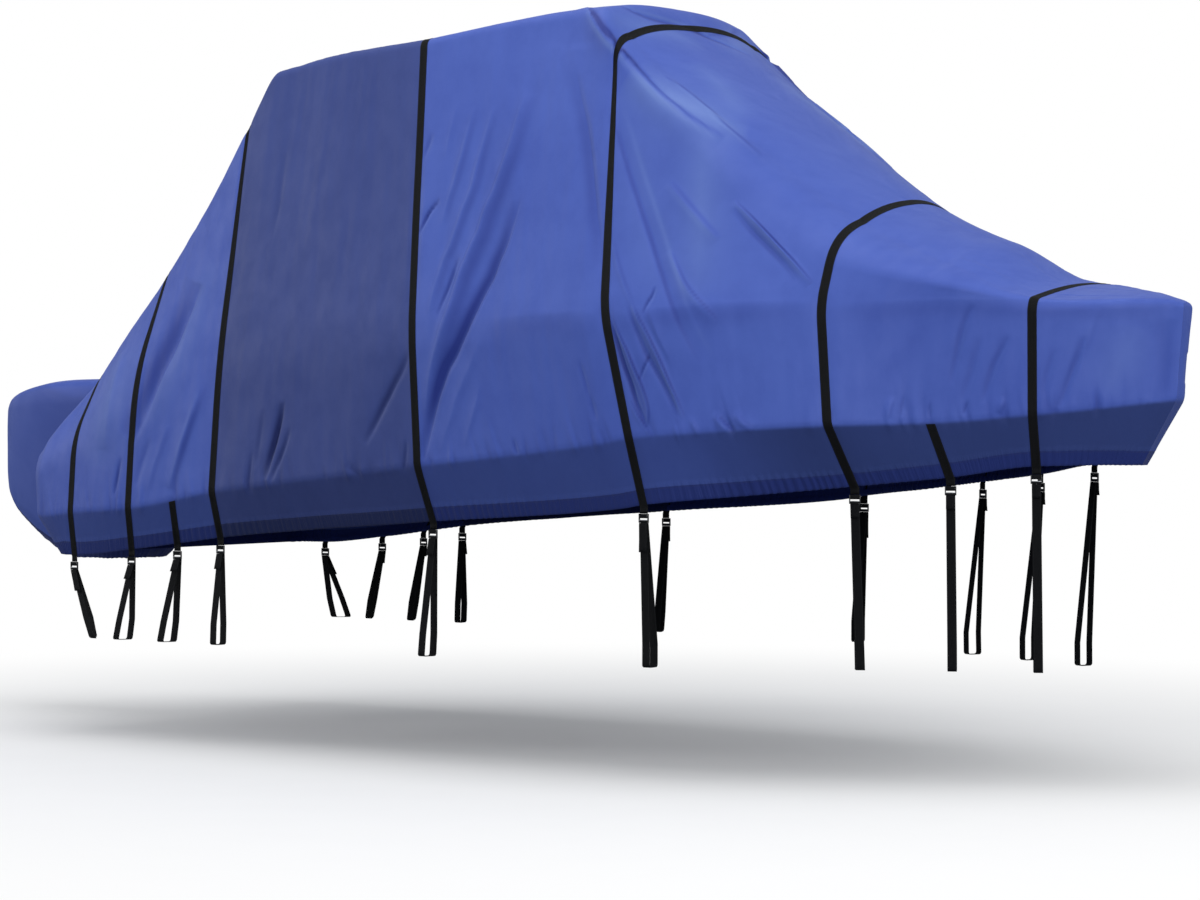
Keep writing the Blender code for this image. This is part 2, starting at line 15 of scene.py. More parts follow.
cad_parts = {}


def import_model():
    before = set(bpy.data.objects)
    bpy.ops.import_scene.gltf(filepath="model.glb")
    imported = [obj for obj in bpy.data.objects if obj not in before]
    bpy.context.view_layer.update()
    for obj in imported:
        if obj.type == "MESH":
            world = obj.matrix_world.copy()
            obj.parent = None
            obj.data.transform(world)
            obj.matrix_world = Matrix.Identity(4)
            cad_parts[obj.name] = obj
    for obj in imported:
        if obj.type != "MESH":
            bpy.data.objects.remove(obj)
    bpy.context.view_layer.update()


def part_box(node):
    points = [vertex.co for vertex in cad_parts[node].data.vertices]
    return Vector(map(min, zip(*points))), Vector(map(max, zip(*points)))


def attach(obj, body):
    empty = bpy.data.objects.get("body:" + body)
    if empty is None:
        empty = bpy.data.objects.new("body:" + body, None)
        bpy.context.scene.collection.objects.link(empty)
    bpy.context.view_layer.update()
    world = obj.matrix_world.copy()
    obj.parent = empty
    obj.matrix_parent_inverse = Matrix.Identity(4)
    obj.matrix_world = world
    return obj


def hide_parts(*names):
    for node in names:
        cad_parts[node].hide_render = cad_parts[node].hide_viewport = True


# Sizes shared with the solids
ROOF_HEIGHT = 3.452
HEM_BAND = 0.070           # drawcord channel above the hem
HEM_BAND_SHARE = 0.35      # and at most this share of the skirt
ROUND_SHARE = 0.45         # a turn takes at most this share of a side
WEBBING = 0.0016           # its thickness
WEBBING_WIDTH = 0.040
TOUCH = 0.0004             # clearance between pieces that touch
SEAM = 0.0016              # clearance between two panels
BUCKLE_SIZE = (0.050, 0.012, 0.040)
HEM_TURN = 0.012           # strap past the hem, still on the skirt's slope
FOOT_TOP = 0.606
FOOT_BOTTOM = 0.5035
FOOT_WIDTH = 0.066
FOOT_ROUND = 0.010
FOOT_CORNER = FOOT_ROUND / 3
RUN_GAP = 0.008            # between a loop's outer and inner run
TURN_SIDE = 0.006          # depth of its turn over the buckle's bar
INNER_SLANT = 0.65         # share of the outer run's slant
PORT_FOLD_SHIFT = 0.06     # port folds lie this far forward of starboard's

SKIRT_ROUND = 0.024        # where the cloth turns under, a little sharper than in the solids

# Bars of a buckle, from its middle: x across, y inward, z up.  slot picks the
# plastic, the slide bar's metal or the webbing.
Bar = namedtuple("Bar", "size place tilt slot")
BUCKLE_BARS = (
    Bar((0.005, 0.00864, 0.040), (-0.0225, 0, 0), 0, 0),
    Bar((0.005, 0.00864, 0.040), (0.0225, 0, 0), 0, 0),
    Bar((0.045, 0.0060, 0.0060), (0, 0.0010, 0.0160), 0, 0),
    Bar((0.045, 0.0050, 0.0070), (0, 0.0015, 0.0030), 0, 0),
    Bar((0.045, 0.0045, 0.0080), (0, 0.0020, -0.0155), 0.25, 0),
    Bar((0.044, 0.0034, 0.0034), (0, -0.0040, -0.0085), 0, 1),
    Bar((0.036, 0.0016, 0.0016), (0, -0.0014, 0.0010), 0, 0),
    Bar((0.036, 0.0016, 0.0016), (0, -0.0014, 0.0032), 0, 0),
    Bar((0.036, 0.0016, 0.0016), (0, -0.0014, 0.0054), 0, 0),
    Bar((WEBBING_WIDTH, 0.0020, 0.0170), (0, -0.0042, 0.0112), 0.05, 2),
    Bar((WEBBING_WIDTH, 0.0020, 0.0100), (0, -0.0038, -0.0150), -0.05, 2),
)

# Rows of points in each block of the cloth, from a hem up to the middle of the roof
BLOCKS = {"band": 6, "skirt": 10, "low_turn": 8, "wall": 30, "gun_turn": 12, "upper": 74,
          "shoulder_turn": 14, "top": 38}
# the flat blocks, and the rounded turn above each
FLATS = ("skirt", "wall", "upper")
TURNS = ("low_turn", "gun_turn", "shoulder_turn")

Rib = namedtuple(
    "Rib",
    "x hem_dx hem_y hem_z low_dx low_y low_z gun_y gun_z "
    "sho_dx sho_y sho_z crown power tilt gun_round sho_round",
)
RIBS = (
    (-2.385, 0.19, 0.86, 0.92, 0.03, 0.9, 1.115, 0.89, 1.35, 0, 0.85, 1.44, 0.02, 2.2, 0, 0.05, 0.05),
    (-2.355, 0.17, 0.95, 0.92, 0.02, 0.975, 1.118, 0.97, 1.35, 0.01, 0.94, 1.45, 0.02, 2.2, 0, 0.05, 0.05),
    (-2.25, 0.12, 0.985, 0.92, 0.01, 1.03, 1.12, 1.03, 1.38, 0, 0.95, 1.56, 0.03, 2.2, 0, 0.06, 0.1),
    (-2.02, -0.03, 1, 0.92, 0.01, 1.07, 1.142, 1.03, 1.52, 0, 0.81, 1.875, 0.04, 2.2, 0, 0.12, 0.12),
    (-1.58, -0.068, 1.01, 0.957, -0.01, 1.1, 1.17, 1.06, 1.8, 0, 0.8, 2.38, 0.04, 2.2, 0, 0.22, 0.1),
    (-1.04, -0.03, 0.99, 1.028, 0, 1.09, 1.258, 1.03, 1.9, -0.035, 0.77, 3.08, 0.04, 2.2, 0, 0.25, 0.06),
    (-0.88, -0.02, 0.99, 1.045, 0, 1.1, 1.275, 1.05, 1.92, -0.04, 0.75, 3.32, 0.03, 2.2, 0, 0.2, 0.05),
    (0.2, 0.03, 1, 1.13, 0.03, 1.12, 1.393, 1.12, 2.015, -0.24, 0.71, 3.42, 0.03, 2.4, 0, 0.12, 0.05),
    (1.14, 0.13, 1, 1.205, 0.12, 1.105, 1.505, 1.12, 2.06, -0.23, 0.62, 3.52, 0.045, 3, 0.015, 0.1, 0.06),
    (1.26, 0.14, 1, 1.225, 0.12, 1.09, 1.526, 1.103, 2.073, -0.23, 0.66, 3.385, 0.08, 3, 0.035, 0.1, 0.12),
    (1.68, 0.13, 0.85, 1.265, 0.1, 0.99, 1.555, 0.99, 2.09, -0.1, 0.7, 2.92, 0.115, 2.6, 0.035, 0.09, 0.18),
    (2.18, 0.07, 0.62, 1.31, 0.05, 0.82, 1.58, 0.79, 2.1, 0.015, 0.68, 2.47, 0.12, 2.2, 0.05, 0.08, 0.24),
    (2.6, 0.03, 0.45, 1.35, 0, 0.58, 1.592, 0.59, 2.11, 0.03, 0.58, 2.27, 0.13, 2.2, 0.04, 0.05, 0.16),
    (3, -0.03, 0.3, 1.4, 0, 0.4, 1.628, 0.405, 2.08, 0, 0.385, 2.17, 0.02, 1.8, 0.045, 0.02, 0.03),
    (3.38, -0.14, 0.12, 1.405, -0.02, 0.18, 1.67, 0.19, 2.09, 0, 0.17, 2.13, 0.02, 2, 0.012, 0.02, 0.03),
    (3.5, -0.19, 0.07, 1.405, -0.03, 0.1, 1.685, 0.105, 2.09, 0, 0.09, 2.11, 0.01, 2, 0, 0.02, 0.02),
    (3.54, -0.2, 0.03, 1.405, -0.03, 0.045, 1.69, 0.05, 2.085, -0.005, 0.04, 2.1, 0.005, 2, 0, 0.01, 0.01),
)
COVER_AFT = -2.385
COVER_FORE = 3.54

Strap = namedtuple("Strap", "name x is_long on_seam foot_x foot_y tail")
STRAPS = (
    Strap("a", -2.02, True, False, -1.905, 1.022, 0.105),
    Strap("b", -1.58, True, False, -1.745, 1.022, 0.070),
    Strap("c", -1.30, False, False, -1.447, 1.022, 0.060),
    Strap("d", -1.05, True, True, -1.100, 1.022, 0.075),
    Strap("e", 0.20, True, True, 0.180, 1.022, 0.080),
    Strap("f", 1.26, True, True, 1.398, 0.975, 0.130),
    Strap("g", 2.18, True, True, 2.254, 0.567, 0.060),
    Strap("h", 2.60, False, False, 2.618, 0.404, 0.060),
    Strap("i", 3.00, True, False, 2.962, 0.259, 0.060),
)

# Panels, stern to bow: cloth, the greatest width and length that each takes when
# it is laid flat, the area of its cloth, and the step between its columns of points
Panel = namedtuple("Panel", "name cloth width length area step")
PANELS = (
    Panel("panel_stern", "royal", 2.75, 5.77, 8.0, 0.008),
    Panel("panel_center", "navy", 1.34, 6.26, 7.4, 0.008),
    Panel("panel_forward", "royal", 1.25, 6.25, 6.9, 0.006),
    Panel("panel_foredeck", "royal", 1.55, 5.91, 5.4, 0.005),
    Panel("panel_bow", "royal", 1.59, 3.87, 3.8, 0.008),
)

# Creases of the starboard side, traced from top to bottom as the camera sees
# them, in a view VIEW_SIZE wide and high.  aft and fore are the widths on the
# two sides of the line and ridge lifts the line or sinks it, in millimetres.
# shade is painted shade on the face that looks forward, with a painted highlight on the edge beside it.
# Without a ridge it is a patch of painted shade, or of painted light where it is below 0.
Crease = namedtuple("Crease", "route aft fore ridge shade")
VIEW_SIZE = (1200, 900)
SEEN_STEP = 0.01           # between the stations that the creases are laid on
CREASES = (
    # from the roof's fore corner down the slope
    Crease("590,12 600,28 612,44 621,54 640,76 652,89 662,99 676,110 690,122 704,131 722,141",
           70, 24, 20, 1.00),
    Crease("608,6 640,13 664,20 690,27 718,40 738,49 750,56", 26, 20, -8, 0.95),
    Crease("660,75 684,90 707,110 716,119 728,130 740,140 750,148 760,157", 40, 14, 10, 0.75),
    # rows without a ridge and with shade below 0 are painted highlights
    Crease("628,76 660,92 694,110 722,124 748,134", 110, 110, 0, -0.90),
    Crease("694,62 724,88 742,118", 90, 90, 0, -0.40),
    Crease("704,122 702,170 700,230 696,300", 90, 100, 0, -0.42),
    Crease("634,120 640,200 654,296", 100, 100, 0, -0.18),
    Crease("604,22 640,25 676,34 706,48", 80, 80, 0, -0.45),
    Crease("734,202 752,219 766,233 780,248 795,264 812,284", 22, 12, 13, 1.00),
    Crease("735,209 750,228 770,248 790,268 800,282", 18, 18, -6, 0.45),
    Crease("668,183 676,192 684,202 696,216 708,230 718,240", 50, 20, 8, 0.50),
    Crease("586,3 594,17 603,33 612,46 626,62", 50, 18, 10, 1.00),
    # where the slopes meet the walls
    Crease("1188,308 1120,304 1044,301 960,299 880,301 822,305", 20, 60, 2, 0.22),
    Crease("816,302 760,302 700,304 650,308 612,314", 20, 70, 3, 0.26),
    Crease("600,313 560,312 520,314 486,320", 20, 80, 3, 0.22),
    # fan beside and below the third long strap
    Crease("611,112 619,132 627,160 634,182 640,200 647,222 653,240 660,262 667,284 673,304 680,322"
           " 688,337 694,348 702,362", 18, 60, -9, 0.75),
    Crease("669,250 676,266 682,280 690,292 700,304 706,310 716,322", 40, 13, 9, 0.65),
    Crease("612,240 617,262 622,280 628,295 632,306", 14, 14, 4, 0.35),
    Crease("628,306 633,318 641,338 649,357 656,369 668,391 679,417", 13, 13, -8, 0.70),
    Crease("632,304 638,318 644,330 652,346 661,365 668,381 675,397 684,418", 13, 10, 10, 1.00),
    Crease("648,310 655,328 662,345 670,360", 10, 34, 5, 0.0),
    Crease("608,312 612,322 616,335 621,352 626,368 632,384 637,402 642,414 648,430", 14, 10, -11, 1.20),
    Crease("610,316 620,338 627,352 632,364 638,378 641,386 646,400 648,412 646,426", 12, 10, 9, 1.10),
    Crease("628,398 636,415 645,428 651,438", 9, 9, 4, 0.60),
    Crease("655,287 652,297 647,303 643,313", 8, 8, -5, 0.80),
    Crease("650,354 647,362 643,370 640,380", 8, 8, -5, 0.80),
    # amidships
    Crease("528,92 522,108 516,130 510,150 504,168 497,186 492,198 485,214 480,232 474,245 468,260 462,274"
           " 454,298 448,315 443,328 439,342 434,358 430,375 427,395 424,418", 22, 60, 17, 0.55),
    Crease("520,200 510,232 504,250 498,262 493,275 486,288 480,300 475,310 470,322 463,337 456,355"
           " 448,370 442,385 437,400 432,420 427,440 423,460", 48, 9, -14, 1.05),
    Crease("494,108 490,122 484,140 480,155 476,170 473,185 468,198 463,210 459,222 455,235 450,248"
           " 445,258 441,270 437,283 433,296 429,312", 18, 34, 9, 0.42),
    Crease("474,108 470,125 466,140 462,156 458,170 454,184 450,196 446,208 442,224", 18, 28, 7, 0.34),
    Crease("457,104 453,122 449,138 446,158", 20, 24, 4, 0.10),
    Crease("459,258 452,278 448,290 443,302 437,316", 14, 9, -7, 0.70),
    Crease("440,201 430,212 425,222 420,234", 13, 10, -10, 0.95),
    Crease("432,134 428,146 424,158", 16, 12, -6, 0.35),
    Crease("480,338 474,358 468,372 462,385 456,400 452,415 446,432 440,452", 34, 30, 5, 0.10),
    Crease("480,385 476,405 470,425 465,448", 20, 18, 4, 0.10),
    Crease("576,70 582,100 586,120 589,140 592,165 594,190 597,215 600,240 602,268", 44, 14, -10, 0.45),
    Crease("580,362 585,380 589,396", 10, 10, -4, 0.35),
    Crease("590,396 597,420", 10, 10, -4, 0.30),
    Crease("513,440 515,447 518,455", 10, 8, -5, 0.50),
    # dark panel
    Crease("283,402 281,416 278,430 274,446 270,460 266,478", 28, 9, -15, 1.25),
    Crease("290,428 284,448 279,460 275,470 271,482", 18, 12, -7, 0.65),
    Crease("264,410 261,430 258,450 256,468", 20, 16, -4, 0.25),
    Crease("252,452 250,468 248,482 251,492", 14, 10, -5, 0.45),
    Crease("410,354 402,372 396,383 390,395 384,407 378,420 372,432 366,444", 28, 10, -9, 0.80),
    Crease("406,440 405,458 404,471", 12, 10, -5, 0.45),
    Crease("346,464 354,470 362,478", 12, 10, -5, 0.35),
    Crease("285,152 281,185 278,210 272,240", 24, 16, -4, 0.15),
    # stern
    Crease("200,284 190,308 180,328 170,352 160,375 150,398 140,420 131,442", 95, 24, -19, 0.80),
    Crease("202,388 192,415 184,440 177,462 169,488", 45, 28, 10, 0.55),
    Crease("168,425 160,448 153,468 148,490", 30, 24, 4, 0.15),
    Crease("150,440 142,462 136,486", 26, 22, -4, 0.20),
    Crease("121,458 117,478 114,496", 14, 9, -7, 0.60),
    Crease("124,352 118,378 110,412 106,450", 70, 45, 8, 0.10),
    Crease("212,260 196,305 176,350 158,392 142,426", 70, 90, 0, -0.34),
    Crease("126,350 114,392 104,430 98,470", 120, 120, 0, -0.34),
    # bow
    Crease("974,305 966,320 960,342 958,355 955,368 951,384", 20, 10, -6, 0.38),
    Crease("982,338 976,358 973,372 968,385 963,402", 26, 12, -4, 0.22),
    Crease("1009,336 1000,353 995,365 991,377 988,388 984,402", 22, 9, -7, 0.40),
    Crease("1140,326 1120,360 1106,400", 90, 90, 0, -0.22),
    Crease("1086,338 1078,358 1072,375 1066,392 1061,408", 24, 9, -8, 0.42),
    Crease("1054,350 1048,372 1043,396", 18, 12, -4, 0.20),
    Crease("1098,308 1092,325 1087,340 1080,358", 30, 18, 3, 0.12),
    Crease("1172,320 1174,350 1172,380 1166,405", 70, 40, -8, 0.22),
    # folds that lie over the lower crease
    Crease("712,414 719,422 726,431", 20, 14, 8, 0.30),
    Crease("720,415 727,423 735,433", 12, 12, -8, 0.60),
    Crease("733,414 741,422 752,431", 16, 20, 9, 0.25),
    Crease("690,418 695,428 699,438", 12, 10, 5, 0.25),
    Crease("832,408 833,416 835,424", 9, 9, -5, 0.35),
    Crease("892,398 889,408 888,418", 14, 14, 5, 0.20),
    Crease("904,396 903,406 902,415", 8, 8, -4, 0.30),
    Crease("930,404 930,411 931,418", 8, 8, -5, 0.35),
    Crease("968,402 965,410 964,416", 9, 8, -5, 0.35),
    Crease("1004,398 1001,406 998,413", 16, 14, 6, 0.15),
)
CREASE_GAIN = 1.45         # on every crease's height
CREASE_SHARPNESS = 1.35    # power of the fall beside a crease; 2 is round, 1 is a kink
CREASE_LIGHT = 0.36        # light line beside a crease, as a share of its shade
# places and widths of the painted dark face and the painted lit edge, as shares of the side they are on
Faces = namedtuple("Faces", "dark dark_width lit lit_width")
RIDGE = Faces(0.7, 0.6, -0.25, 0.35)
FURROW = Faces(-0.5, 0.6, 0.9, 0.6)
DARK_LEAST = 0.006         # the least width of a painted dark face
LIT_WIDTHS = (0.005, 0.012)     # the least and the most of a lit edge
CREASE_FLOOR = 0.35        # creases keep this share of their height under a strap
FOLD_CALM = 0.022          # and reach their full height this far from its edge
STRAP_DENT = (0.0025, 0.032)    # depth and width of the dent that a strap presses
SEAM_COLUMNS = (0.0045, 0.0095, 0.0145, 0.020, 0.026)   # close columns beside a strap's line
# a hem's extra rows: how far past its edge, and how far into the cloth's inside
HEM_TURNS = ((0.0012, 0.0012), (0.0012, 0.0034), (-0.010, 0.0044), (-0.030, 0.0044))

# Puckers: small upright folds that start at the lower crease
PUCKERS = 150              # on each side
PUCKER_SEEDS = {-1: 11, 1: 23}
PUCKER_WIDTH = (0.009, 0.020)
PUCKER_REACH = (0.03, 0.14)
PUCKER_SLANT = (-0.30, 0.12)
PUCKER_DEPTH = (0.0015, 0.0050)
PUCKER_SHADE = 45.0        # shade of a pucker for each metre of its depth
GATHER_PITCH = 0.036       # gathers along the hem
GATHER_DEPTH = 0.0022

# Slow unevenness of the cloth: wave lengths along and up the cloth, and height
Wave = namedtuple("Wave", "shortest longest stretch height seed")
WAVES = (
    Wave(0.50, 1.10, 1.6, 0.0036, 3),
    Wave(0.16, 0.36, 2.4, 0.0010, 5),
    Wave(0.06, 0.12, 3.0, 0.0005, 7),
)
WAVES_IN_SUM = 18
PORT_WAVE_SHIFT = 7.0      # how far along the cloth the port side's waves are read
TAUT_SHARE = 0.62          # share of the beam over which the roof is taut
TAUT_SLACK = 0.25          # share of the waves' height that is left there

# Stern hood
HOOD_AFT = -3.370
HOOD_FORE = -2.3856
HOOD_HALF_WIDTH = 0.285
HOOD_TOP = 1.820
HOOD_HEM = 0.86
HOOD_HEM_RISE = 0.36
HOOD_TOP_FALL = 0.11
HOOD_BEND = -2.76
HOOD_HEM_POWER = 1.5
HOOD_TOP_POWER = 2
HOOD_SQUARENESS = 3.6
HOOD_SIDES = 220
HOOD_ROWS = 110
HOOD_SHADE_SLOPE = 0.25           # slope of the painted shade over the hood's upper edge
HOOD_SHADE_EDGE = 0.90      # length of cloth from the hem up to that edge
HOOD_SHADE_LEAST = -0.007   # keeps the painted shade below the edge a light one
HOOD_AROUND = 2.3          # cloth place at the end of one turn around the hood
HOOD_CROWN = (0.85, 0.7, 0.55, 0.4, 0.25, 0.12, 0.03)   # rings that close its top
WELD = 1e-5                # points of the hood this close to each other are joined
# share of the way up the hood, and how far its cloth is drawn in there
HOOD_PROFILE = ((0.0, 0.060), (0.05, 0.022), (0.14, 0.004), (0.32, 0.0), (0.60, 0.0),
                (0.86, 0.002), (0.95, 0.014), (0.985, 0.036), (1.0, 0.080))

# Colours of the cloth: plain, sun-faded, dark for the mottle and as painted shade in a
# fold, painted highlight on a fold's lit edge, and painted shade below the lower crease
Dye = namedtuple("Dye", "plain faded deep lit low")
ROYAL = Dye((0.049, 0.092, 0.400), (0.061, 0.110, 0.437), (0.003, 0.013, 0.170),
            (0.140, 0.220, 0.520), (0.018, 0.034, 0.130))
NAVY = Dye((0.032, 0.055, 0.220), (0.039, 0.064, 0.241), (0.002, 0.008, 0.080),
           (0.085, 0.125, 0.310), (0.010, 0.020, 0.070))
THREAD_PITCH = 0.0011
HEM_THREAD = (0.02, 0.03, 0.10)
HEM_LINES = (HEM_BAND, HEM_BAND - 0.006)
HEM_STITCH = (0.0045, 0.0012)   # pitch and width of a line of stitches
BOW_SKIRT_SHADE = (4.2, 5.0)     # the skirt's painted shade deepens between these places along the cover
# painted shade that the skirt gains there
BOW_SKIRT_SHADE_SHARE = 0.34

# Webbing: pitch of its weave along and across, the line of its stitches with their
# pitch and width, where its worn edge starts and ends, and its colours
WEBBING_PITCH = (0.0019, 0.0024)
WEBBING_LINE = 0.0168
WEBBING_STITCH = (0.0050, 0.0010)
WEBBING_EDGE = (0.0182, 0.0192)
WEBBING_TONES = ((0.0015, 0.0017, 0.0025), (0.0045, 0.005, 0.0065))
WEBBING_FLUFF = (0.013, 0.014, 0.015)
WEBBING_WORN = (0.010, 0.011, 0.012)
WEBBING_THREAD = (0.018, 0.019, 0.021)

# Darkest and lightest tone of the buckle's plastic, its slide bar and the floor
ACETAL_TONES = ((0.012, 0.012, 0.013), (0.022, 0.022, 0.024))
BAR_TONES = ((0.34, 0.35, 0.36), (0.55, 0.56, 0.57))
FLOOR_TONES = ((0.86, 0.86, 0.86), (0.88, 0.88, 0.88))

# Camera and light
CAMERA_PLACE = (8.682, -12.077, -1.865)
CAMERA_TURN = 0.596        # to the left of +Y
CAMERA_DIP = -0.009
CAMERA_LENS = 90.0
SENSOR = 36.0
Light = namedtuple("Light", "name place target size power")
LIGHTS = (
    Light("key_light", (-7.5, -13.0, 3.4), (0.2, 0, -1.6), (4.5, 4.5), 130.0),
    Light("top_light", (0.5, -2.0, 8.0), (0.5, 0, -1.5), (9.0, 7.0), 560.0),
    Light("bow_light", (12.0, -9.0, 2.0), (1.5, 0, -1.5), (5.0, 5.0), 750.0),
    Light("aft_light", (-13.0, -7.0, 2.5), (-1.0, 0, -1.5), (5.0, 5.0), 530.0),
    Light("fore_light", (13.0, -3.5, 3.0), (1.5, 0, -1.5), (5.0, 5.0), 260.0),
)
SURROUND_COLOUR = (0.93, 0.96, 1.0, 1.0)
SURROUND_STRENGTH = 0.46
FLOOR_SIZE = 90.0
DOME_RADIUS = 40.5
FLOOR_BOUNCE = (0.22, 0.23, 0.25)
FLOOR_FADE = (1.5, 7.0)    # distances from the middle over which the floor turns white


def slopes(xs, ys):
    """Slopes of a smooth curve through (xs, ys) that never overshoots."""
    step = np.diff(xs)[:, None]
    rise = np.diff(ys, axis=0) / step
    result = np.zeros_like(ys)
    result[0] = rise[0]
    result[-1] = rise[-1]
    before = 2 * step[1:] + step[:-1]
    after = step[1:] + 2 * step[:-1]
    same_way = rise[:-1] * rise[1:] > 0
    safe_before = np.where(same_way, rise[:-1], 1.0)
    safe_after = np.where(same_way, rise[1:], 1.0)
    mean = (before + after) / (before / safe_before + after / safe_after)
    result[1:-1] = np.where(same_way, mean, 0.0)
    return result


def smooth(share):
    """Smooth step of a share, cut to 0 and 1."""
    share = np.clip(share, 0, 1)
    return share * share * (3 - 2 * share)


def length(vectors):
    """Lengths of vectors, kept as a last axis of one."""
    return np.linalg.norm(vectors, axis=-1, keepdims=True)


def run_lengths(points, axis=0):
    """Length along lines of points, up to each point."""
    steps = np.linalg.norm(np.diff(points, axis=axis), axis=-1)
    start = np.zeros_like(steps.take([0], axis=axis))
    return np.concatenate((start, np.cumsum(steps, axis=axis)), axis=axis)


RIB_TABLE = np.array(RIBS, dtype=float)
RIB_X = RIB_TABLE[:, 0]
RIB_SLOPES = slopes(RIB_X, RIB_TABLE)


def read_table(table, tangents, places, at):
    """Rows of a table, smooth between its places, at any array of places."""
    i = np.clip(np.searchsorted(places, at) - 1, 0, len(places) - 2)
    step = (places[i + 1] - places[i])[..., None]
    t = (at - places[i])[..., None] / step
    start = table[i] * (1 + 2 * t) * (1 - t) ** 2
    leave = tangents[i] * step * t * (1 - t) ** 2
    end = table[i + 1] * t * t * (3 - 2 * t)
    arrive = tangents[i + 1] * step * t * t * (t - 1)
    return start + leave + end + arrive


def read_ribs(x):
    """The rib table at any array of stations, as a Rib of arrays."""
    table = read_table(RIB_TABLE, RIB_SLOPES, RIB_X, x)
    return Rib(*np.moveaxis(table, -1, 0))._replace(x=x)


def turn(before, corner, after, reach, t):
    """Point at share t of a crease that is rounded back by reach."""
    into = before - corner
    out = after - corner
    first = corner + into * np.minimum(reach / length(into), ROUND_SHARE)
    last = corner + out * np.minimum(reach / length(out), ROUND_SHARE)
    return first * (1 - t) ** 2 + 2 * corner * t * (1 - t) + last * t * t


def row_table():
    """Side, block and share of every row, starboard hem to port hem."""
    half = [(name, k / steps) for name, steps in BLOCKS.items() for k in range(steps)]
    half.append(("top", 1.0))
    rows = [(-1, name, t) for name, t in half]
    rows += [(1, name, t) for name, t in half[-2::-1]]
    sides, names, shares = zip(*rows)
    return np.array(sides), np.array(names), np.array(shares)


ROW_SIDE, ROW_BLOCK, ROW_SHARE = row_table()
ROWS = len(ROW_SIDE)
LOW_ROW = BLOCKS["band"] + BLOCKS["skirt"] + BLOCKS["low_turn"] // 2


def block_points(name, x, side, t):
    """Points of one block of rows, for stations x by columns and rows."""
    rib = read_ribs(x)
    side = np.broadcast_to(side, x.shape)
    t = np.broadcast_to(t, x.shape)[..., None]

    def at(dx, y, z):
        return np.stack((x + dx, y, z), axis=-1)

    hem = at(rib.hem_dx, rib.hem_y, rib.hem_z)
    low = at(rib.low_dx, rib.low_y, rib.low_z)
    gun = at(0 * x, rib.gun_y, rib.gun_z)
    shoulder = at(rib.sho_dx, rib.sho_y, rib.sho_z + side * rib.tilt)
    middle = at(rib.sho_dx, 0 * x, rib.sho_z + rib.crown)
    band = hem + (low - hem) * np.minimum(HEM_BAND / length(low - hem), HEM_BAND_SHARE)
    corners = (band, low, gun, shoulder, middle)
    rounds = (SKIRT_ROUND, rib.gun_round[..., None], rib.sho_round[..., None])

    def bend(k, share):
        return turn(*corners[k:k + 3], rounds[k], share)

    if name == "band":
        points = hem + (band - hem) * t
    elif name in FLATS:
        k = FLATS.index(name)
        start = bend(k - 1, 1) if k > 0 else band
        points = start + (bend(k, 0) - start) * t
    elif name in TURNS:
        points = bend(TURNS.index(name), t)
    else:
        edge = bend(2, 1)
        out = 1 - t
        points = middle + (edge - middle) * out
        lean = (side * rib.tilt)[..., None]
        fall = middle[..., 2:] + lean - edge[..., 2:]
        points[..., 2:] = middle[..., 2:] + lean * out - fall * out ** rib.power[..., None]
    points[..., 1] *= side
    return points


def cover_points(x):
    """The smooth cover at stations x, an array of columns by rows."""
    points = np.zeros((*x.shape, 3))
    for name in BLOCKS:
        rows = np.flatnonzero(ROW_BLOCK == name)
        points[:, rows] = block_points(name, x[:, rows], ROW_SIDE[rows], ROW_SHARE[rows])
    return points


def stations(x):
    """One station for all rows, as a single column."""
    return np.full((1, ROWS), float(x))


def moved(x, offset):
    """Stations that lie a true distance along the cloth from station x."""
    probe = 0.01
    run = cover_points(stations(x + probe)) - cover_points(stations(x))
    return x + offset * probe / length(run)[..., 0]


def crease_lengths():
    """Stations, and the length of the lower crease up to each."""
    xs = np.linspace(COVER_AFT - 0.05, COVER_FORE + 0.05, 1200)
    return xs, run_lengths(cover_points(np.repeat(xs[:, None], ROWS, axis=1))[:, LOW_ROW])


CREASE_X, CREASE_S = crease_lengths()


def outward(grid):
    """Outward unit normals of a grid of points, columns by rows."""
    normal = np.cross(np.gradient(grid, axis=0), np.gradient(grid, axis=1))
    return normal / np.maximum(length(normal), 1e-12)


def cloth_places(x, points):
    """Along, above the hem and above the lower crease, for each point."""
    up = run_lengths(points, axis=1)
    down = up[:, -1:] - up
    starboard = ROW_SIDE < 0
    hem = np.where(starboard, up, down)
    low = np.where(starboard, up[:, LOW_ROW:LOW_ROW + 1], down[:, ROWS - 1 - LOW_ROW:ROWS - LOW_ROW])
    return np.interp(x, CREASE_X, CREASE_S), hem, hem - low


def route_place(points, normals, route, flip):
    """Signed distance of points from a route, and the share of the way along it."""
    legs = np.diff(route, axis=0)
    lengths = np.linalg.norm(legs, axis=1)
    nearest = np.full(len(points), np.inf)
    signed = np.zeros(len(points))
    share = np.zeros(len(points))
    done = 0.0
    for start, leg, leg_length in zip(route, legs, lengths):
        t = np.clip((points - start) @ leg / leg_length ** 2, 0, 1)
        apart = points - start - t[:, None] * leg
        distance = np.linalg.norm(apart, axis=1)
        side = np.sign((np.cross(normals, leg) * apart).sum(axis=1)) * flip
        closer = distance < nearest
        nearest = np.where(closer, distance, nearest)
        signed = np.where(closer, distance * side, signed)
        share = np.where(closer, (done + t * leg_length) / lengths.sum(), share)
        done += leg_length
    return signed, share


def view_axes():
    """Directions of the camera's look, right and up."""
    level = math.cos(CAMERA_DIP)
    look = np.array((-math.sin(CAMERA_TURN) * level, math.cos(CAMERA_TURN) * level, math.sin(CAMERA_DIP)))
    right = np.array((math.cos(CAMERA_TURN), math.sin(CAMERA_TURN), 0.0))
    return look, right, np.cross(right, look)


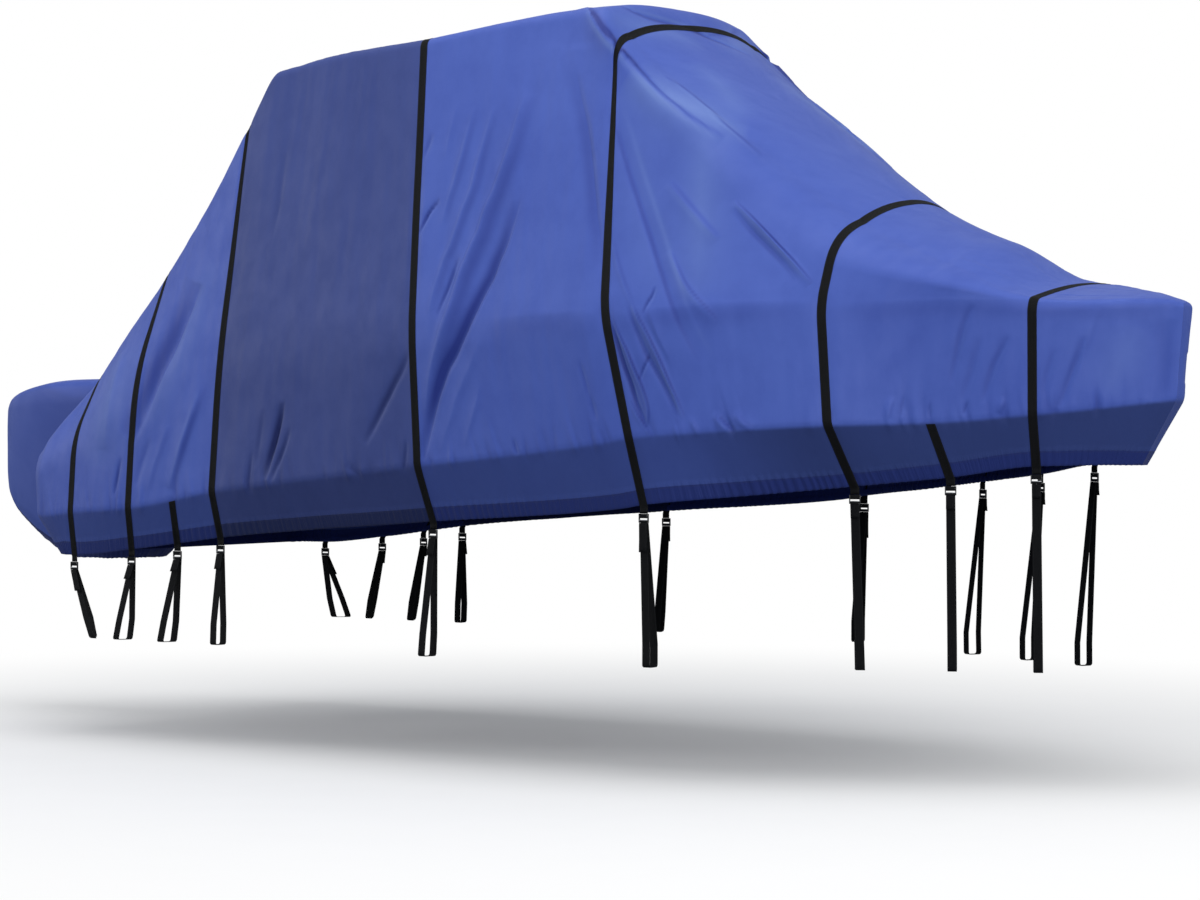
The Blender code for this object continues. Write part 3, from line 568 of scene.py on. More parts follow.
def view_places(points):
    """Where the camera sees points, in the pixels of its view, and the way to each."""
    look, right, up = view_axes()
    away = points - CAMERA_PLACE - np.array((0.0, 0.0, ROOF_HEIGHT))
    scale = CAMERA_LENS / SENSOR * VIEW_SIZE[0] / (away @ look)
    across = VIEW_SIZE[0] / 2 + scale * (away @ right)
    down = VIEW_SIZE[1] / 2 - scale * (away @ up)
    return np.stack((across, down), axis=-1), away


def seen_cloth():
    """Points of the smooth cover that face the camera, and where it sees them."""
    xs = np.arange(COVER_AFT + SEEN_STEP, COVER_FORE - SEEN_STEP, SEEN_STEP)
    x = np.repeat(xs[:, None], ROWS, axis=1)
    points = cover_points(x)
    normals = outward(points)
    places, away = view_places(points)
    facing = (normals * away).sum(axis=2) < 0
    return points[facing], places[facing]


def laid(route, points, places):
    """A route in the camera's view, laid on the cloth and smoothed."""
    found = []
    for spot in route:
        distance = np.linalg.norm(places - spot, axis=1)
        near = np.argsort(distance)[:4]
        weights = 1 / (distance[near] + 0.05)
        found.append(weights @ points[near] / weights.sum())
    route = np.array(found)
    first = route[:-1] * 0.75 + route[1:] * 0.25
    second = route[:-1] * 0.25 + route[1:] * 0.75
    cut = np.stack((first, second), axis=1).reshape(-1, 3)
    return np.concatenate((route[:1], cut[1:-1], route[-1:]))


def laid_creases():
    """Every crease's route on the starboard side and its copy on the port side."""
    points, places = seen_cloth()
    result = []
    for crease in CREASES:
        spots = [[int(number) for number in spot.split(",")] for spot in crease.route.split()]
        starboard = laid(spots, points, places)
        port = starboard * (1, -1, 1) + (PORT_FOLD_SHIFT, 0, 0)
        result += [(crease, starboard, 1), (crease, port, -1)]
    return result


LAID_CREASES = laid_creases()


def crease_heights(points, normals):
    """Height and shade of the main creases at each point."""
    height = np.zeros(len(points))
    shade = np.zeros(len(points))
    for crease, route, flip in LAID_CREASES:
        aft, fore, ridge = (size / 1000 for size in crease[1:4])
        reach = 3 * max(aft, fore)
        inside = (points > route.min(axis=0) - reach) & (points < route.max(axis=0) + reach)
        near = np.flatnonzero(inside.all(axis=1))
        signed, share = route_place(points[near], normals[near], route, flip)
        taper = np.sin(math.pi * share.clip(0, 1)) ** 0.6
        fall = np.exp(-np.abs(signed / np.where(signed < 0, aft, fore)) ** CREASE_SHARPNESS)
        height[near] += taper * ridge * CREASE_GAIN * fall
        if ridge == 0:
            shade[near] += taper * crease.shade * fall
            continue
        faces, dark_side, lit_side = (RIDGE, fore, aft) if ridge > 0 else (FURROW, aft, fore)
        dark_width = max(faces.dark_width * dark_side, DARK_LEAST)
        lit_width = np.clip(faces.lit_width * lit_side, *LIT_WIDTHS)
        darker = np.exp(-((signed - faces.dark * dark_side) / dark_width) ** 2)
        lighter = np.exp(-((signed - faces.lit * lit_side) / lit_width) ** 2)
        shade[near] += taper * crease.shade * (darker - CREASE_LIGHT * lighter)
    return height, shade


def pucker_heights(along, above, side):
    """Height and shade of the small folds that start at the lower crease of one side."""
    rng = np.random.default_rng(PUCKER_SEEDS[side])
    height = np.zeros(along.shape)
    shade = np.zeros(along.shape)
    for _ in range(PUCKERS):
        centre = rng.uniform(CREASE_S[0], CREASE_S[-1])
        width = rng.uniform(*PUCKER_WIDTH)
        reach = rng.uniform(*PUCKER_REACH)
        slant = rng.uniform(*PUCKER_SLANT)
        size = rng.choice((-1, 1)) * rng.uniform(*PUCKER_DEPTH)
        near = np.abs(along - centre) < 4 * width + abs(slant) * 3 * reach
        near &= (above > -0.08) & (above < 3 * reach)
        rise = above[near]
        off = along[near] - centre - slant * np.maximum(rise, 0)
        fade = np.where(rise > 0, np.exp(-(rise / reach) ** 2), np.exp(-(rise / 0.03) ** 2))
        fold = fade * np.exp(-(off / width) ** 2)
        height[near] += size * fold
        shade[near] += max(-size, 0) * PUCKER_SHADE * fold
    return height, shade


def wave_heights(along, above, wave):
    """A slow random sum of waves over the cloth."""
    rng = np.random.default_rng(wave.seed)
    total = np.zeros(along.shape)
    for _ in range(WAVES_IN_SUM):
        wave_length = rng.uniform(wave.shortest, wave.longest)
        turned = rng.normal(0, 0.35)
        a = 2 * math.pi / wave_length
        phase = rng.uniform(0, 2 * math.pi)
        total += np.sin(a * (along * math.cos(turned) + above / wave.stretch * math.sin(turned)) + phase
                        + 1.3 * np.sin(above * rng.uniform(1.0, 3.0) + phase))
    return wave.height * total / math.sqrt(WAVES_IN_SUM)


def strap_distances(points):
    """Distance of each point from each strap's line, for the rows it covers."""
    result = []
    for strap in STRAPS:
        line = cover_points(stations(strap.x))[0]
        result.append(np.linalg.norm(points - line[None], axis=2))
    return result


def gather_heights(along, hem):
    """Gathers of the hem band, fading out a little above it."""
    fade = smooth((HEM_BAND + 0.035 - hem) / 0.05)
    fine = np.sin(along * 2 * math.pi / GATHER_PITCH + 2.2 * np.sin(along * 9.0) + 1.1 * np.sin(along * 31.0))
    slow = 0.6 + 0.4 * np.sin(along * 4.1 + 1.0)
    return GATHER_DEPTH * fade * fine * slow


def folded(x):
    """The cover with all its folds at stations x: points, normals, cloth places with shade."""
    smooth_points = cover_points(x)
    normals = outward(smooth_points)
    along, hem, above = cloth_places(x, smooth_points)
    creased = crease_heights(smooth_points.reshape(-1, 3), normals.reshape(-1, 3))
    height, shade = (values.reshape(x.shape) for values in creased)
    starboard = ROW_SIDE < 0
    for side, rows in ((-1, starboard), (1, ~starboard)):
        rise, dark = pucker_heights(along[:, rows], above[:, rows], side)
        height[:, rows] += rise
        shade[:, rows] += dark
    shifted = along + PORT_WAVE_SHIFT * (ROW_SIDE > 0)
    # the waves are low on the skirt, lower again high up, and lowest over the taut roof
    taut = np.abs(smooth_points[..., 1]) < TAUT_SHARE * np.abs(smooth_points[:, LOW_ROW, 1])[:, None]
    slack = 0.35 + 0.65 * smooth((above + 0.05) / 0.15) * (1 - 0.6 * smooth((above - 1.9) / 0.3))
    slack = np.where(taut, TAUT_SLACK, slack)
    for wave in WAVES:
        height += slack * wave_heights(shifted, hem, wave)
    away = strap_distances(smooth_points)
    for strap, distance in zip(STRAPS, away):
        calm = smooth((distance - WEBBING_WIDTH / 2) / FOLD_CALM)
        covered = 1.0 if strap.is_long else smooth((0.03 - above) / 0.03)
        height *= 1 - covered * (1 - CREASE_FLOOR) * (1 - calm)
        height -= covered * STRAP_DENT[0] * np.exp(-(distance / STRAP_DENT[1]) ** 2)
    height += gather_heights(along, hem)
    points = smooth_points + normals * height[..., None]
    return points, outward(points), np.stack((along, hem, above, shade), axis=-1)


def panel_columns(start, end, step):
    """Stations of a panel's columns, a step apart, from one seam or end to the next."""
    stops = [moved(start, SEAM / 2) if start > COVER_AFT else stations(start)]
    if start > COVER_AFT:
        stops += [moved(start, gap) for gap in SEAM_COLUMNS]
    for strap in STRAPS:
        if start < strap.x < end:
            stops += [moved(strap.x, -gap) for gap in SEAM_COLUMNS[::-1]]
            stops += [stations(strap.x)]
            stops += [moved(strap.x, gap) for gap in SEAM_COLUMNS]
    if end < COVER_FORE:
        stops += [moved(end, -gap) for gap in SEAM_COLUMNS[::-1]]
    stops.append(moved(end, -SEAM / 2) if end < COVER_FORE else stations(end))
    columns = [stops[0]]
    for before, after in zip(stops, stops[1:]):
        count = max(1, math.ceil((after - before).max() / step))
        columns += [before + (after - before) * k / count for k in range(1, count + 1)]
    return np.concatenate(columns)


def end_patch(rib, places):
    """Grid that closes an end of the cover, rows up and columns across."""
    across = 2 * BLOCKS["top"]
    wall = (len(rib) - 1 - across) // 2
    left = rib[:wall + 1]
    right = rib[::-1][:wall + 1]
    top = rib[wall:wall + across + 1]
    u = ((top[:, 1] - top[0, 1]) / (top[-1, 1] - top[0, 1]))[None, :, None]
    v = ((left[:, 2] - left[0, 2]) / (left[-1, 2] - left[0, 2]))[:, None, None]
    bottom = left[0] + (right[0] - left[0]) * u
    sides = (1 - u) * left[:, None] + u * right[:, None]
    ends = (1 - v) * bottom + v * top[None]
    corners = ((1 - u) * (1 - v) * left[0] + u * (1 - v) * right[0]
               + (1 - u) * v * top[0] + u * v * top[-1])
    grid = sides + ends - corners
    inside = np.sin(math.pi * u) * np.sin(math.pi * v)
    grid[..., :1] += inside * 0.006 * np.sin(grid[..., 1:2] * 9 + grid[..., 2:] * 4)
    up = np.repeat(places[:wall + 1, None, 1:3], across + 1, axis=1)
    return grid, np.concatenate((grid[..., 1:2], up, np.zeros_like(up[..., :1])), axis=-1)


def turned_hem(points, normals, places):
    """Extra rows at both hems that turn the cloth under and up inside."""
    result = []
    for edge, following in ((0, 1), (-1, -2)):
        away = points[:, edge] - points[:, following]
        away /= length(away)
        rows = [points[:, edge] + away * out - normals[:, edge] * into for out, into in HEM_TURNS]
        result.append(np.stack(rows, axis=1))
    grid = np.concatenate((result[0][:, ::-1], points, result[1]), axis=1)
    extra = len(HEM_TURNS)
    return grid, np.pad(places, ((0, 0), (extra, extra), (0, 0)), mode="edge")


def grid_faces(columns, rows, first=0, flip=False):
    """Quads of a grid whose points are numbered column by column."""
    i, j = np.meshgrid(np.arange(columns - 1), np.arange(rows - 1), indexing="ij")
    a = first + i * rows + j
    quads = np.stack((a, a + rows, a + rows + 1, a + 1), axis=-1).reshape(-1, 4)
    return quads[:, ::-1] if flip else quads


def add_object(name, data):
    """An object of the scene from its data."""
    item = bpy.data.objects.new(name, data)
    bpy.context.scene.collection.objects.link(item)
    return item


def new_mesh(name, points, faces, places, material):
    """Object from arrays, smooth shaded, with its cloth places, and shade if given, on its points."""
    data = bpy.data.meshes.new(name)
    data.from_pydata([tuple(p) for p in points], [], [tuple(f) for f in faces])
    places = np.asarray(places, dtype=np.float32)
    cloth = data.attributes.new("cloth", "FLOAT_VECTOR", "POINT")
    cloth.data.foreach_set("vector", places[:, :3].ravel())
    if places.shape[1] > 3:
        data.attributes.new("shade", "FLOAT", "POINT").data.foreach_set("value", places[:, 3].copy())
    data.materials.append(material)
    data.shade_smooth()
    return add_object(name, data)


def weld(item):
    """Join the points of a mesh that lie on each other."""
    mesh = bmesh.new()
    mesh.from_mesh(item.data)
    bmesh.ops.remove_doubles(mesh, verts=mesh.verts, dist=WELD)
    mesh.to_mesh(item.data)
    mesh.free()


def place_piece(item, node):
    """Put a piece in its node's place on the frame."""
    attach(item, "root")
    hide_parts(node)


def lowered(points):
    """Points with heights above the ground, moved to the part's frame."""
    return points - (0.0, 0.0, ROOF_HEIGHT)


def build_panel(panel, start, end, materials):
    """One panel of the cover, with its hems turned under and any end closed."""
    points, normals, places = folded(panel_columns(start, end, panel.step))
    grids = [turned_hem(points, normals, places)]
    columns, rows = grids[0][0].shape[:2]
    faces = [grid_faces(columns, rows)]
    if start == COVER_AFT or end == COVER_FORE:
        column = 0 if start == COVER_AFT else -1
        grids.append(end_patch(points[column], places[column]))
        faces.append(grid_faces(*grids[1][0].shape[:2], first=columns * rows, flip=column != 0))
    all_points = np.concatenate([grid.reshape(-1, 3) for grid, _ in grids])
    all_places = np.concatenate([spots.reshape(-1, 4) for _, spots in grids])
    item = new_mesh(panel.name + "_cloth", lowered(all_points), np.concatenate(faces), all_places,
                    materials[panel.cloth])
    place_piece(item, panel.name)


def build_panels(materials):
    """All panels, each between its seams."""
    seams = [strap.x for strap in STRAPS if strap.on_seam]
    for panel, start, end in zip(PANELS, [COVER_AFT] + seams, seams + [COVER_FORE]):
        build_panel(panel, start, end, materials)


# Webbing: offsets across its width, and the cross section's (offset, lift) ring
ACROSS = (-0.0200, -0.0193, -0.0100, 0.0, 0.0100, 0.0193, 0.0200)
BESIDE = 0.024             # offset of the cloth's columns just beside a strap
UPPER = ((0, 0.3), (1, 0.5), (2, 0.5), (3, 0.5), (4, 0.5), (5, 0.5), (6, 0.3))
LOWER = ((6, -0.3), (5, -0.5), (3, -0.5), (1, -0.5), (0, -0.3))


def ribbon(lines, normals):
    """Points, faces and cloth places of webbing along lines, offsets across by points along."""
    rings = [lines[k] + normals[k] * WEBBING * lift for k, lift in UPPER + LOWER]
    grid = np.array(rings)
    around, count = grid.shape[:2]
    faces = []
    for r in range(around):
        following = (r + 1) % around
        for j in range(count - 1):
            faces.append((r * count + j, r * count + j + 1, following * count + j + 1, following * count + j))
    faces.append([r * count for r in range(around)])
    faces.append([r * count + count - 1 for r in reversed(range(around))])
    places = np.zeros(grid.shape)
    places[..., 0] = run_lengths(lines[3])
    places[..., 1] = [[ACROSS[k]] for k, _ in UPPER + LOWER]
    return grid.reshape(-1, 3), faces, places.reshape(-1, 3)


def buckle_top(name, side):
    """Centre of a buckle's node and the height of its top."""
    low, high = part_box("buckle_" + name + "_" + side)
    return np.array((low + high) / 2), high[2]


def strap_end_lines(lines, normals, name, side):
    """Lines that carry a strap past the hem and down to its buckle."""
    top = buckle_top(name, side)[1]
    slope = lines[:, 0] - lines[:, 1]
    turn_point = lines[:, 0] + slope / length(slope) * HEM_TURN
    bottom = turn_point.copy()
    bottom[:, 2] = top + TOUCH
    out = normals[:, 0] * (1, 1, 0)
    out /= length(out)
    extra = [bottom, bottom + (turn_point - bottom) * 0.5, turn_point - (0, 0, 0.004),
             turn_point, lines[:, 0] + (turn_point - lines[:, 0]) * 0.6]
    return np.stack(extra, axis=1), np.repeat(out[:, None], len(extra), axis=1)


def strap_surface(strap):
    """The folded cover under a strap, at each offset across it."""
    wide = (-BESIDE, *ACROSS, BESIDE)
    x = np.concatenate([moved(strap.x, offset) for offset in wide])
    points, normals, _ = folded(x)
    return lowered(points)[1:-1], normals[1:-1]


def strap_runs(strap):
    """Lines and normals of each webbing piece of a strap, with its name's ending."""
    points, normals = strap_surface(strap)
    seated = points + normals * (TOUCH + WEBBING / 2)
    middle = {"starboard": (seated, normals), "port": (seated[:, ::-1], normals[:, ::-1])}
    ends = {side: strap_end_lines(*run, strap.name, side) for side, run in middle.items()}
    if strap.is_long:
        parts = zip(ends["starboard"], middle["starboard"], ends["port"])
        return {"": [np.concatenate((low, run, high[:, ::-1]), axis=1) for low, run, high in parts]}
    stop = LOW_ROW - 1
    return {
        "_" + side: [np.concatenate((low, run[:, :stop]), axis=1) for low, run in zip(ends[side], runs)]
        for side, runs in middle.items()
    }


def build_straps(materials):
    """All straps, and the direction across each strap's ends."""
    turns = {}
    for strap in STRAPS:
        for ending, (lines, out) in strap_runs(strap).items():
            name = "strap_" + strap.name + ending
            points, faces, places = ribbon(lines, out)
            if ending != "_port":
                turns[strap.name, "starboard"] = lines[-1, 0] - lines[0, 0]
            if ending != "_starboard":
                last = 0 if ending else -1
                turns[strap.name, "port"] = lines[-1, last] - lines[0, last]
            item = new_mesh(name + "_webbing", points, faces, places, materials["webbing"])
            place_piece(item, name)
    return turns


def loop_route(reach, height, tail):
    """Route of a tie loop below its buckle, as (out, up, slant) points."""
    foot_top = FOOT_TOP - height
    bottom = FOOT_BOTTOM - height
    inner = reach - FOOT_WIDTH
    tail_out = RUN_GAP - reach * tail / foot_top
    return (
        (tail_out + 0.006, -tail, 1),
        (tail_out * 0.6 + RUN_GAP * 0.4 + 0.002, -tail * 0.55, 1),
        (RUN_GAP, -TURN_SIDE, 1),
        (RUN_GAP * 3 / 4, -WEBBING / 2, 1),
        (RUN_GAP / 4, -WEBBING / 2, 1),
        (0, -TURN_SIDE, 1),
        (reach, foot_top, 1),
        (reach, bottom + FOOT_ROUND, 1),
        (reach - FOOT_CORNER, bottom + FOOT_CORNER, 1),
        (reach - FOOT_ROUND, bottom, 1),
        (inner + FOOT_ROUND, bottom, INNER_SLANT),
        (inner + FOOT_CORNER, bottom + FOOT_CORNER, INNER_SLANT),
        (inner, bottom + FOOT_ROUND, INNER_SLANT),
        (inner, foot_top, INNER_SLANT),
        (-RUN_GAP, 0, INNER_SLANT),
    )


def spaced(route, step):
    """A route with points added so that none are further apart than step."""
    result = [route[:1]]
    for start, end in zip(route, route[1:]):
        count = max(1, math.ceil(np.linalg.norm(end - start) / step))
        shares = np.arange(1, count + 1)[:, None] / count
        result.append(start + (end - start) * shares)
    return np.concatenate(result)


def build_loop(strap, side, angle, outer, materials):
    """A tie loop of webbing that hangs from its buckle."""
    centre, top = buckle_top(strap.name, side)
    hang = top - BUCKLE_SIZE[2] - TOUCH
    height = hang + ROOF_HEIGHT
    foot_y = strap.foot_y if side == "port" else -strap.foot_y
    away = np.array((strap.foot_x - centre[0], foot_y - centre[1]))
    reach = away @ outer[:2]
    shift = away[1] * outer[0] - away[0] * outer[1]
    lean = shift / (FOOT_BOTTOM - height)
    route = spaced(np.array(loop_route(reach, height, strap.tail)), 0.02)
    middle = np.stack((lean * route[:, 2] * route[:, 1], -route[:, 0], route[:, 1]), axis=1)
    along = np.gradient(middle, axis=0)
    along /= length(along)
    width = np.broadcast_to((1.0, 0.0, 0.0), middle.shape)
    normal = np.cross(along, width)
    normal /= length(normal)
    lines = np.array([middle + width * offset for offset in ACROSS])
    normals = np.broadcast_to(normal, lines.shape)
    points, faces, places = ribbon(lines, normals)
    name = "tie_loop_" + strap.name + "_" + side
    turned = points @ turn_matrix(angle).T + (centre[0], centre[1], hang)
    item = new_mesh(name + "_webbing", turned, faces, places, materials["webbing"])
    place_piece(item, name)


def turn_matrix(angle):
    """Rotation by an angle about Z."""
    c, s = math.cos(angle), math.sin(angle)
    return np.array(((c, -s, 0), (s, c, 0), (0, 0, 1)))


def rounded_bar(mesh, size, place, tilt, slot):
    """Add a bar with rounded edges to a buckle."""
    made = bmesh.ops.create_cube(mesh, size=1.0)["verts"]
    bmesh.ops.scale(mesh, vec=size, verts=made)
    edges = {edge for vert in made for edge in vert.link_edges}
    result = bmesh.ops.bevel(
        mesh, geom=list(edges), offset=min(size) * 0.3, segments=3, profile=0.5, affect="EDGES")
    verts = {vert for face in result["faces"] for vert in face.verts}
    verts |= {vert for vert in made if vert.is_valid}
    bmesh.ops.rotate(mesh, cent=(0, 0, 0), matrix=Matrix.Rotation(tilt, 3, "X"), verts=list(verts))
    bmesh.ops.translate(mesh, vec=place, verts=list(verts))
    for face in {face for vert in verts for face in vert.link_faces}:
        face.material_index = slot
        face.smooth = True


def buckle_mesh(materials):
    """A ladder buckle with the webbing through it."""
    mesh = bmesh.new()
    for bar in BUCKLE_BARS:
        rounded_bar(mesh, bar.size, bar.place, bar.tilt, bar.slot)
    data = bpy.data.meshes.new("buckle")
    mesh.to_mesh(data)
    mesh.free()
    for key in ("acetal", "bar", "webbing"):
        data.materials.append(materials[key])
    return data


def build_ties(turns, materials):
    """A buckle and a tie loop at each end of every strap."""
    data = buckle_mesh(materials)
    for strap in STRAPS:
        for side in ("starboard", "port"):
            across = turns[strap.name, side]
            angle = math.atan2(across[1], across[0])
            outer = np.array((math.sin(angle), -math.cos(angle), 0.0))
            if side == "port":
                outer = -outer
                angle += math.pi
            centre, top = buckle_top(strap.name, side)
            node = "buckle_" + strap.name + "_" + side
            item = add_object(node + "_slide", data)
            item.location = (centre[0], centre[1], top - BUCKLE_SIZE[2] / 2)
            item.rotation_euler = (0, 0, angle)
            place_piece(item, node)
            build_loop(strap, side, angle, outer, materials)


def hood_height(x, level):
    """Height of the hood's cloth at x, for a share of the way up."""
    share = np.maximum(HOOD_BEND - x, 0) / (HOOD_BEND - HOOD_AFT)
    hem = HOOD_HEM + HOOD_HEM_RISE * share ** HOOD_HEM_POWER
    top = HOOD_TOP - HOOD_TOP_FALL * share ** HOOD_TOP_POWER
    return hem + (top - hem) * level


def hood_levels():
    """Level and inset of each fine row, hem to crown."""
    profile = np.array(HOOD_PROFILE)
    places = run_lengths(profile)
    return read_table(profile, slopes(places, profile), places, np.linspace(0, places[-1], HOOD_ROWS))


def build_hood(materials):
    """The stern hood, open below, with its top closed by a small disc of rings."""
    middle = (HOOD_AFT + HOOD_FORE) / 2
    turns = 2 * math.pi * np.arange(HOOD_SIDES) / HOOD_SIDES
    c, s = np.cos(turns), np.sin(turns)
    power = 2 / HOOD_SQUARENESS
    around_x = np.sign(c) * np.abs(c) ** power
    around_y = np.sign(s) * np.abs(s) ** power
    rings = []
    for level, inset in hood_levels():
        x = middle + ((HOOD_FORE - HOOD_AFT) / 2 - inset) * around_x
        y = (HOOD_HALF_WIDTH - inset) * around_y
        rings.append(np.stack((x, y, hood_height(x, level)), axis=1))
    rim = rings[-1]
    crown = np.array((middle, 0.0, hood_height(middle, 1.0) + 0.006))
    for share in HOOD_CROWN:
        ring = crown + (rim - crown) * share
        ring[:, 2] = crown[2] + (rim[:, 2] - crown[2]) * share ** 2
        rings.append(ring)
    grid = np.array(rings)
    grid = np.concatenate((grid, grid[:, :1]), axis=1)
    normals = -outward(grid)
    along = np.linspace(0, HOOD_AROUND, grid.shape[1])[None].repeat(len(grid), axis=0)
    up = run_lengths(grid)
    around = 2 * math.pi * along / HOOD_AROUND
    dents = 0.004 * np.sin(3 * around + 1.5 * np.sin(up * 4)) * smooth(up / 0.2)
    dents += 0.002 * np.sin(11 * around + 2 * np.sin(up * 7)) * smooth((0.5 - up) / 0.3)
    dents += 0.0022 * np.sin(64 * around + 3 * np.sin(5 * around)) * smooth((0.09 - up) / 0.05)
    grid += normals * (dents * smooth((1.35 - up) / 0.3))[..., None]
    # painted shade on the hood's sides below its upper edge, given as the cloth's place above the lower
    # crease
    hood_shade = np.maximum(HOOD_SHADE_SLOPE * (up - HOOD_SHADE_EDGE), HOOD_SHADE_LEAST)
    places = np.stack((along, up, hood_shade), axis=-1)
    rows, columns = grid.shape[:2]
    item = new_mesh("stern_hood_cloth", lowered(grid.reshape(-1, 3)),
                    grid_faces(rows, columns, flip=True), places.reshape(-1, 3), materials["royal"])
    weld(item)
    place_piece(item, "stern_hood")


class Graph:
    """Short calls for making a material's nodes."""

    def __init__(self, name):
        self.material = bpy.data.materials.new(name)
        self.material.use_nodes = True
        self.tree = self.material.node_tree
        self.shader = self.tree.nodes["Principled BSDF"]

    def node(self, kind, **values):
        made = self.tree.nodes.new(kind)
        for key, value in values.items():
            setattr(made, key, value)
        return made

    def link(self, source, target):
        self.tree.links.new(source, target)

    def feed(self, socket, value):
        if isinstance(value, (int, float, tuple)):
            socket.default_value = value
        else:
            self.link(value, socket)

    def math(self, operation, first, second=0.0):
        made = self.node("ShaderNodeMath", operation=operation)
        for socket, value in zip(made.inputs, (first, second)):
            self.feed(socket, value)
        return made.outputs[0]

    def finish(self, shade, rough, normal, **levels):
        """Link the shader's inputs, set those that are the same all over, and give the material."""
        for name, source in (("Base Color", shade), ("Roughness", rough), ("Normal", normal)):
            self.link(source, self.shader.inputs[name])
        for name, value in levels.items():
            self.shader.inputs[name.replace("_", " ")].default_value = value
        return self.material

    def times(self, first, second):
        return self.math("MULTIPLY", first, second)

    def places(self):
        """The three cloth places as separate values."""
        attribute = self.node("ShaderNodeAttribute", attribute_name="cloth")
        parts = self.node("ShaderNodeSeparateXYZ")
        self.link(attribute.outputs["Vector"], parts.inputs[0])
        return parts.outputs

    def noise(self, scales, detail=2.0, roughness=0.5, places=True):
        """Noise over the cloth places, or over object places, scaled on each axis."""
        if places:
            source = self.node("ShaderNodeAttribute", attribute_name="cloth").outputs["Vector"]
        else:
            source = self.node("ShaderNodeTexCoord").outputs["Object"]
        scaled = self.node("ShaderNodeVectorMath", operation="MULTIPLY")
        self.link(source, scaled.inputs[0])
        scaled.inputs[1].default_value = scales
        made = self.node("ShaderNodeTexNoise")
        made.inputs["Scale"].default_value = 1.0
        made.inputs["Detail"].default_value = detail
        made.inputs["Roughness"].default_value = roughness
        self.link(scaled.outputs[0], made.inputs["Vector"])
        return made.outputs["Fac"]

    def ramp(self, value, start, end, low=0.0, high=1.0, smoothly=True):
        made = self.node("ShaderNodeMapRange")
        made.interpolation_type = "SMOOTHSTEP" if smoothly else "LINEAR"
        self.feed(made.inputs["Value"], value)
        for key, number in zip(("From Min", "From Max", "To Min", "To Max"), (start, end, low, high)):
            made.inputs[key].default_value = number
        return made.outputs[0]

    def mix(self, share, first, second):
        made = self.node("ShaderNodeMix", data_type="RGBA")
        self.feed(made.inputs[0], share)
        for socket, value in zip(made.inputs[6:8], (first, second)):
            self.feed(socket, (*value, 1.0) if isinstance(value, tuple) else value)
        return made.outputs[2]

    def bump(self, height, distance, strength, before=None):
        made = self.node("ShaderNodeBump")
        made.inputs["Distance"].default_value = distance
        made.inputs["Strength"].default_value = strength
        self.link(height, made.inputs["Height"])
        if before is not None:
            self.link(before, made.inputs["Normal"])
        return made.outputs[0]

    def threads(self, along, up, pitch):
        """Plain weave of a pitch: sines both ways, multiplied."""
        first = self.math("SINE", self.times(along, 2 * math.pi / pitch))
        second = self.math("SINE", self.times(up, 2 * math.pi / pitch))
        return self.times(first, second)

    def stitches(self, along, across, line, pitch, width):
        """A line of stitches: 1 on the thread, 0 beside it."""
        off = self.math("ABSOLUTE", self.math("SUBTRACT", across, line))
        thread = self.ramp(off, width * 0.5, width, 1.0, 0.0)
        phase = self.math("FRACT", self.math("DIVIDE", along, pitch))
        dash = self.math("LESS_THAN", phase, 0.72)
        return self.times(thread, dash)


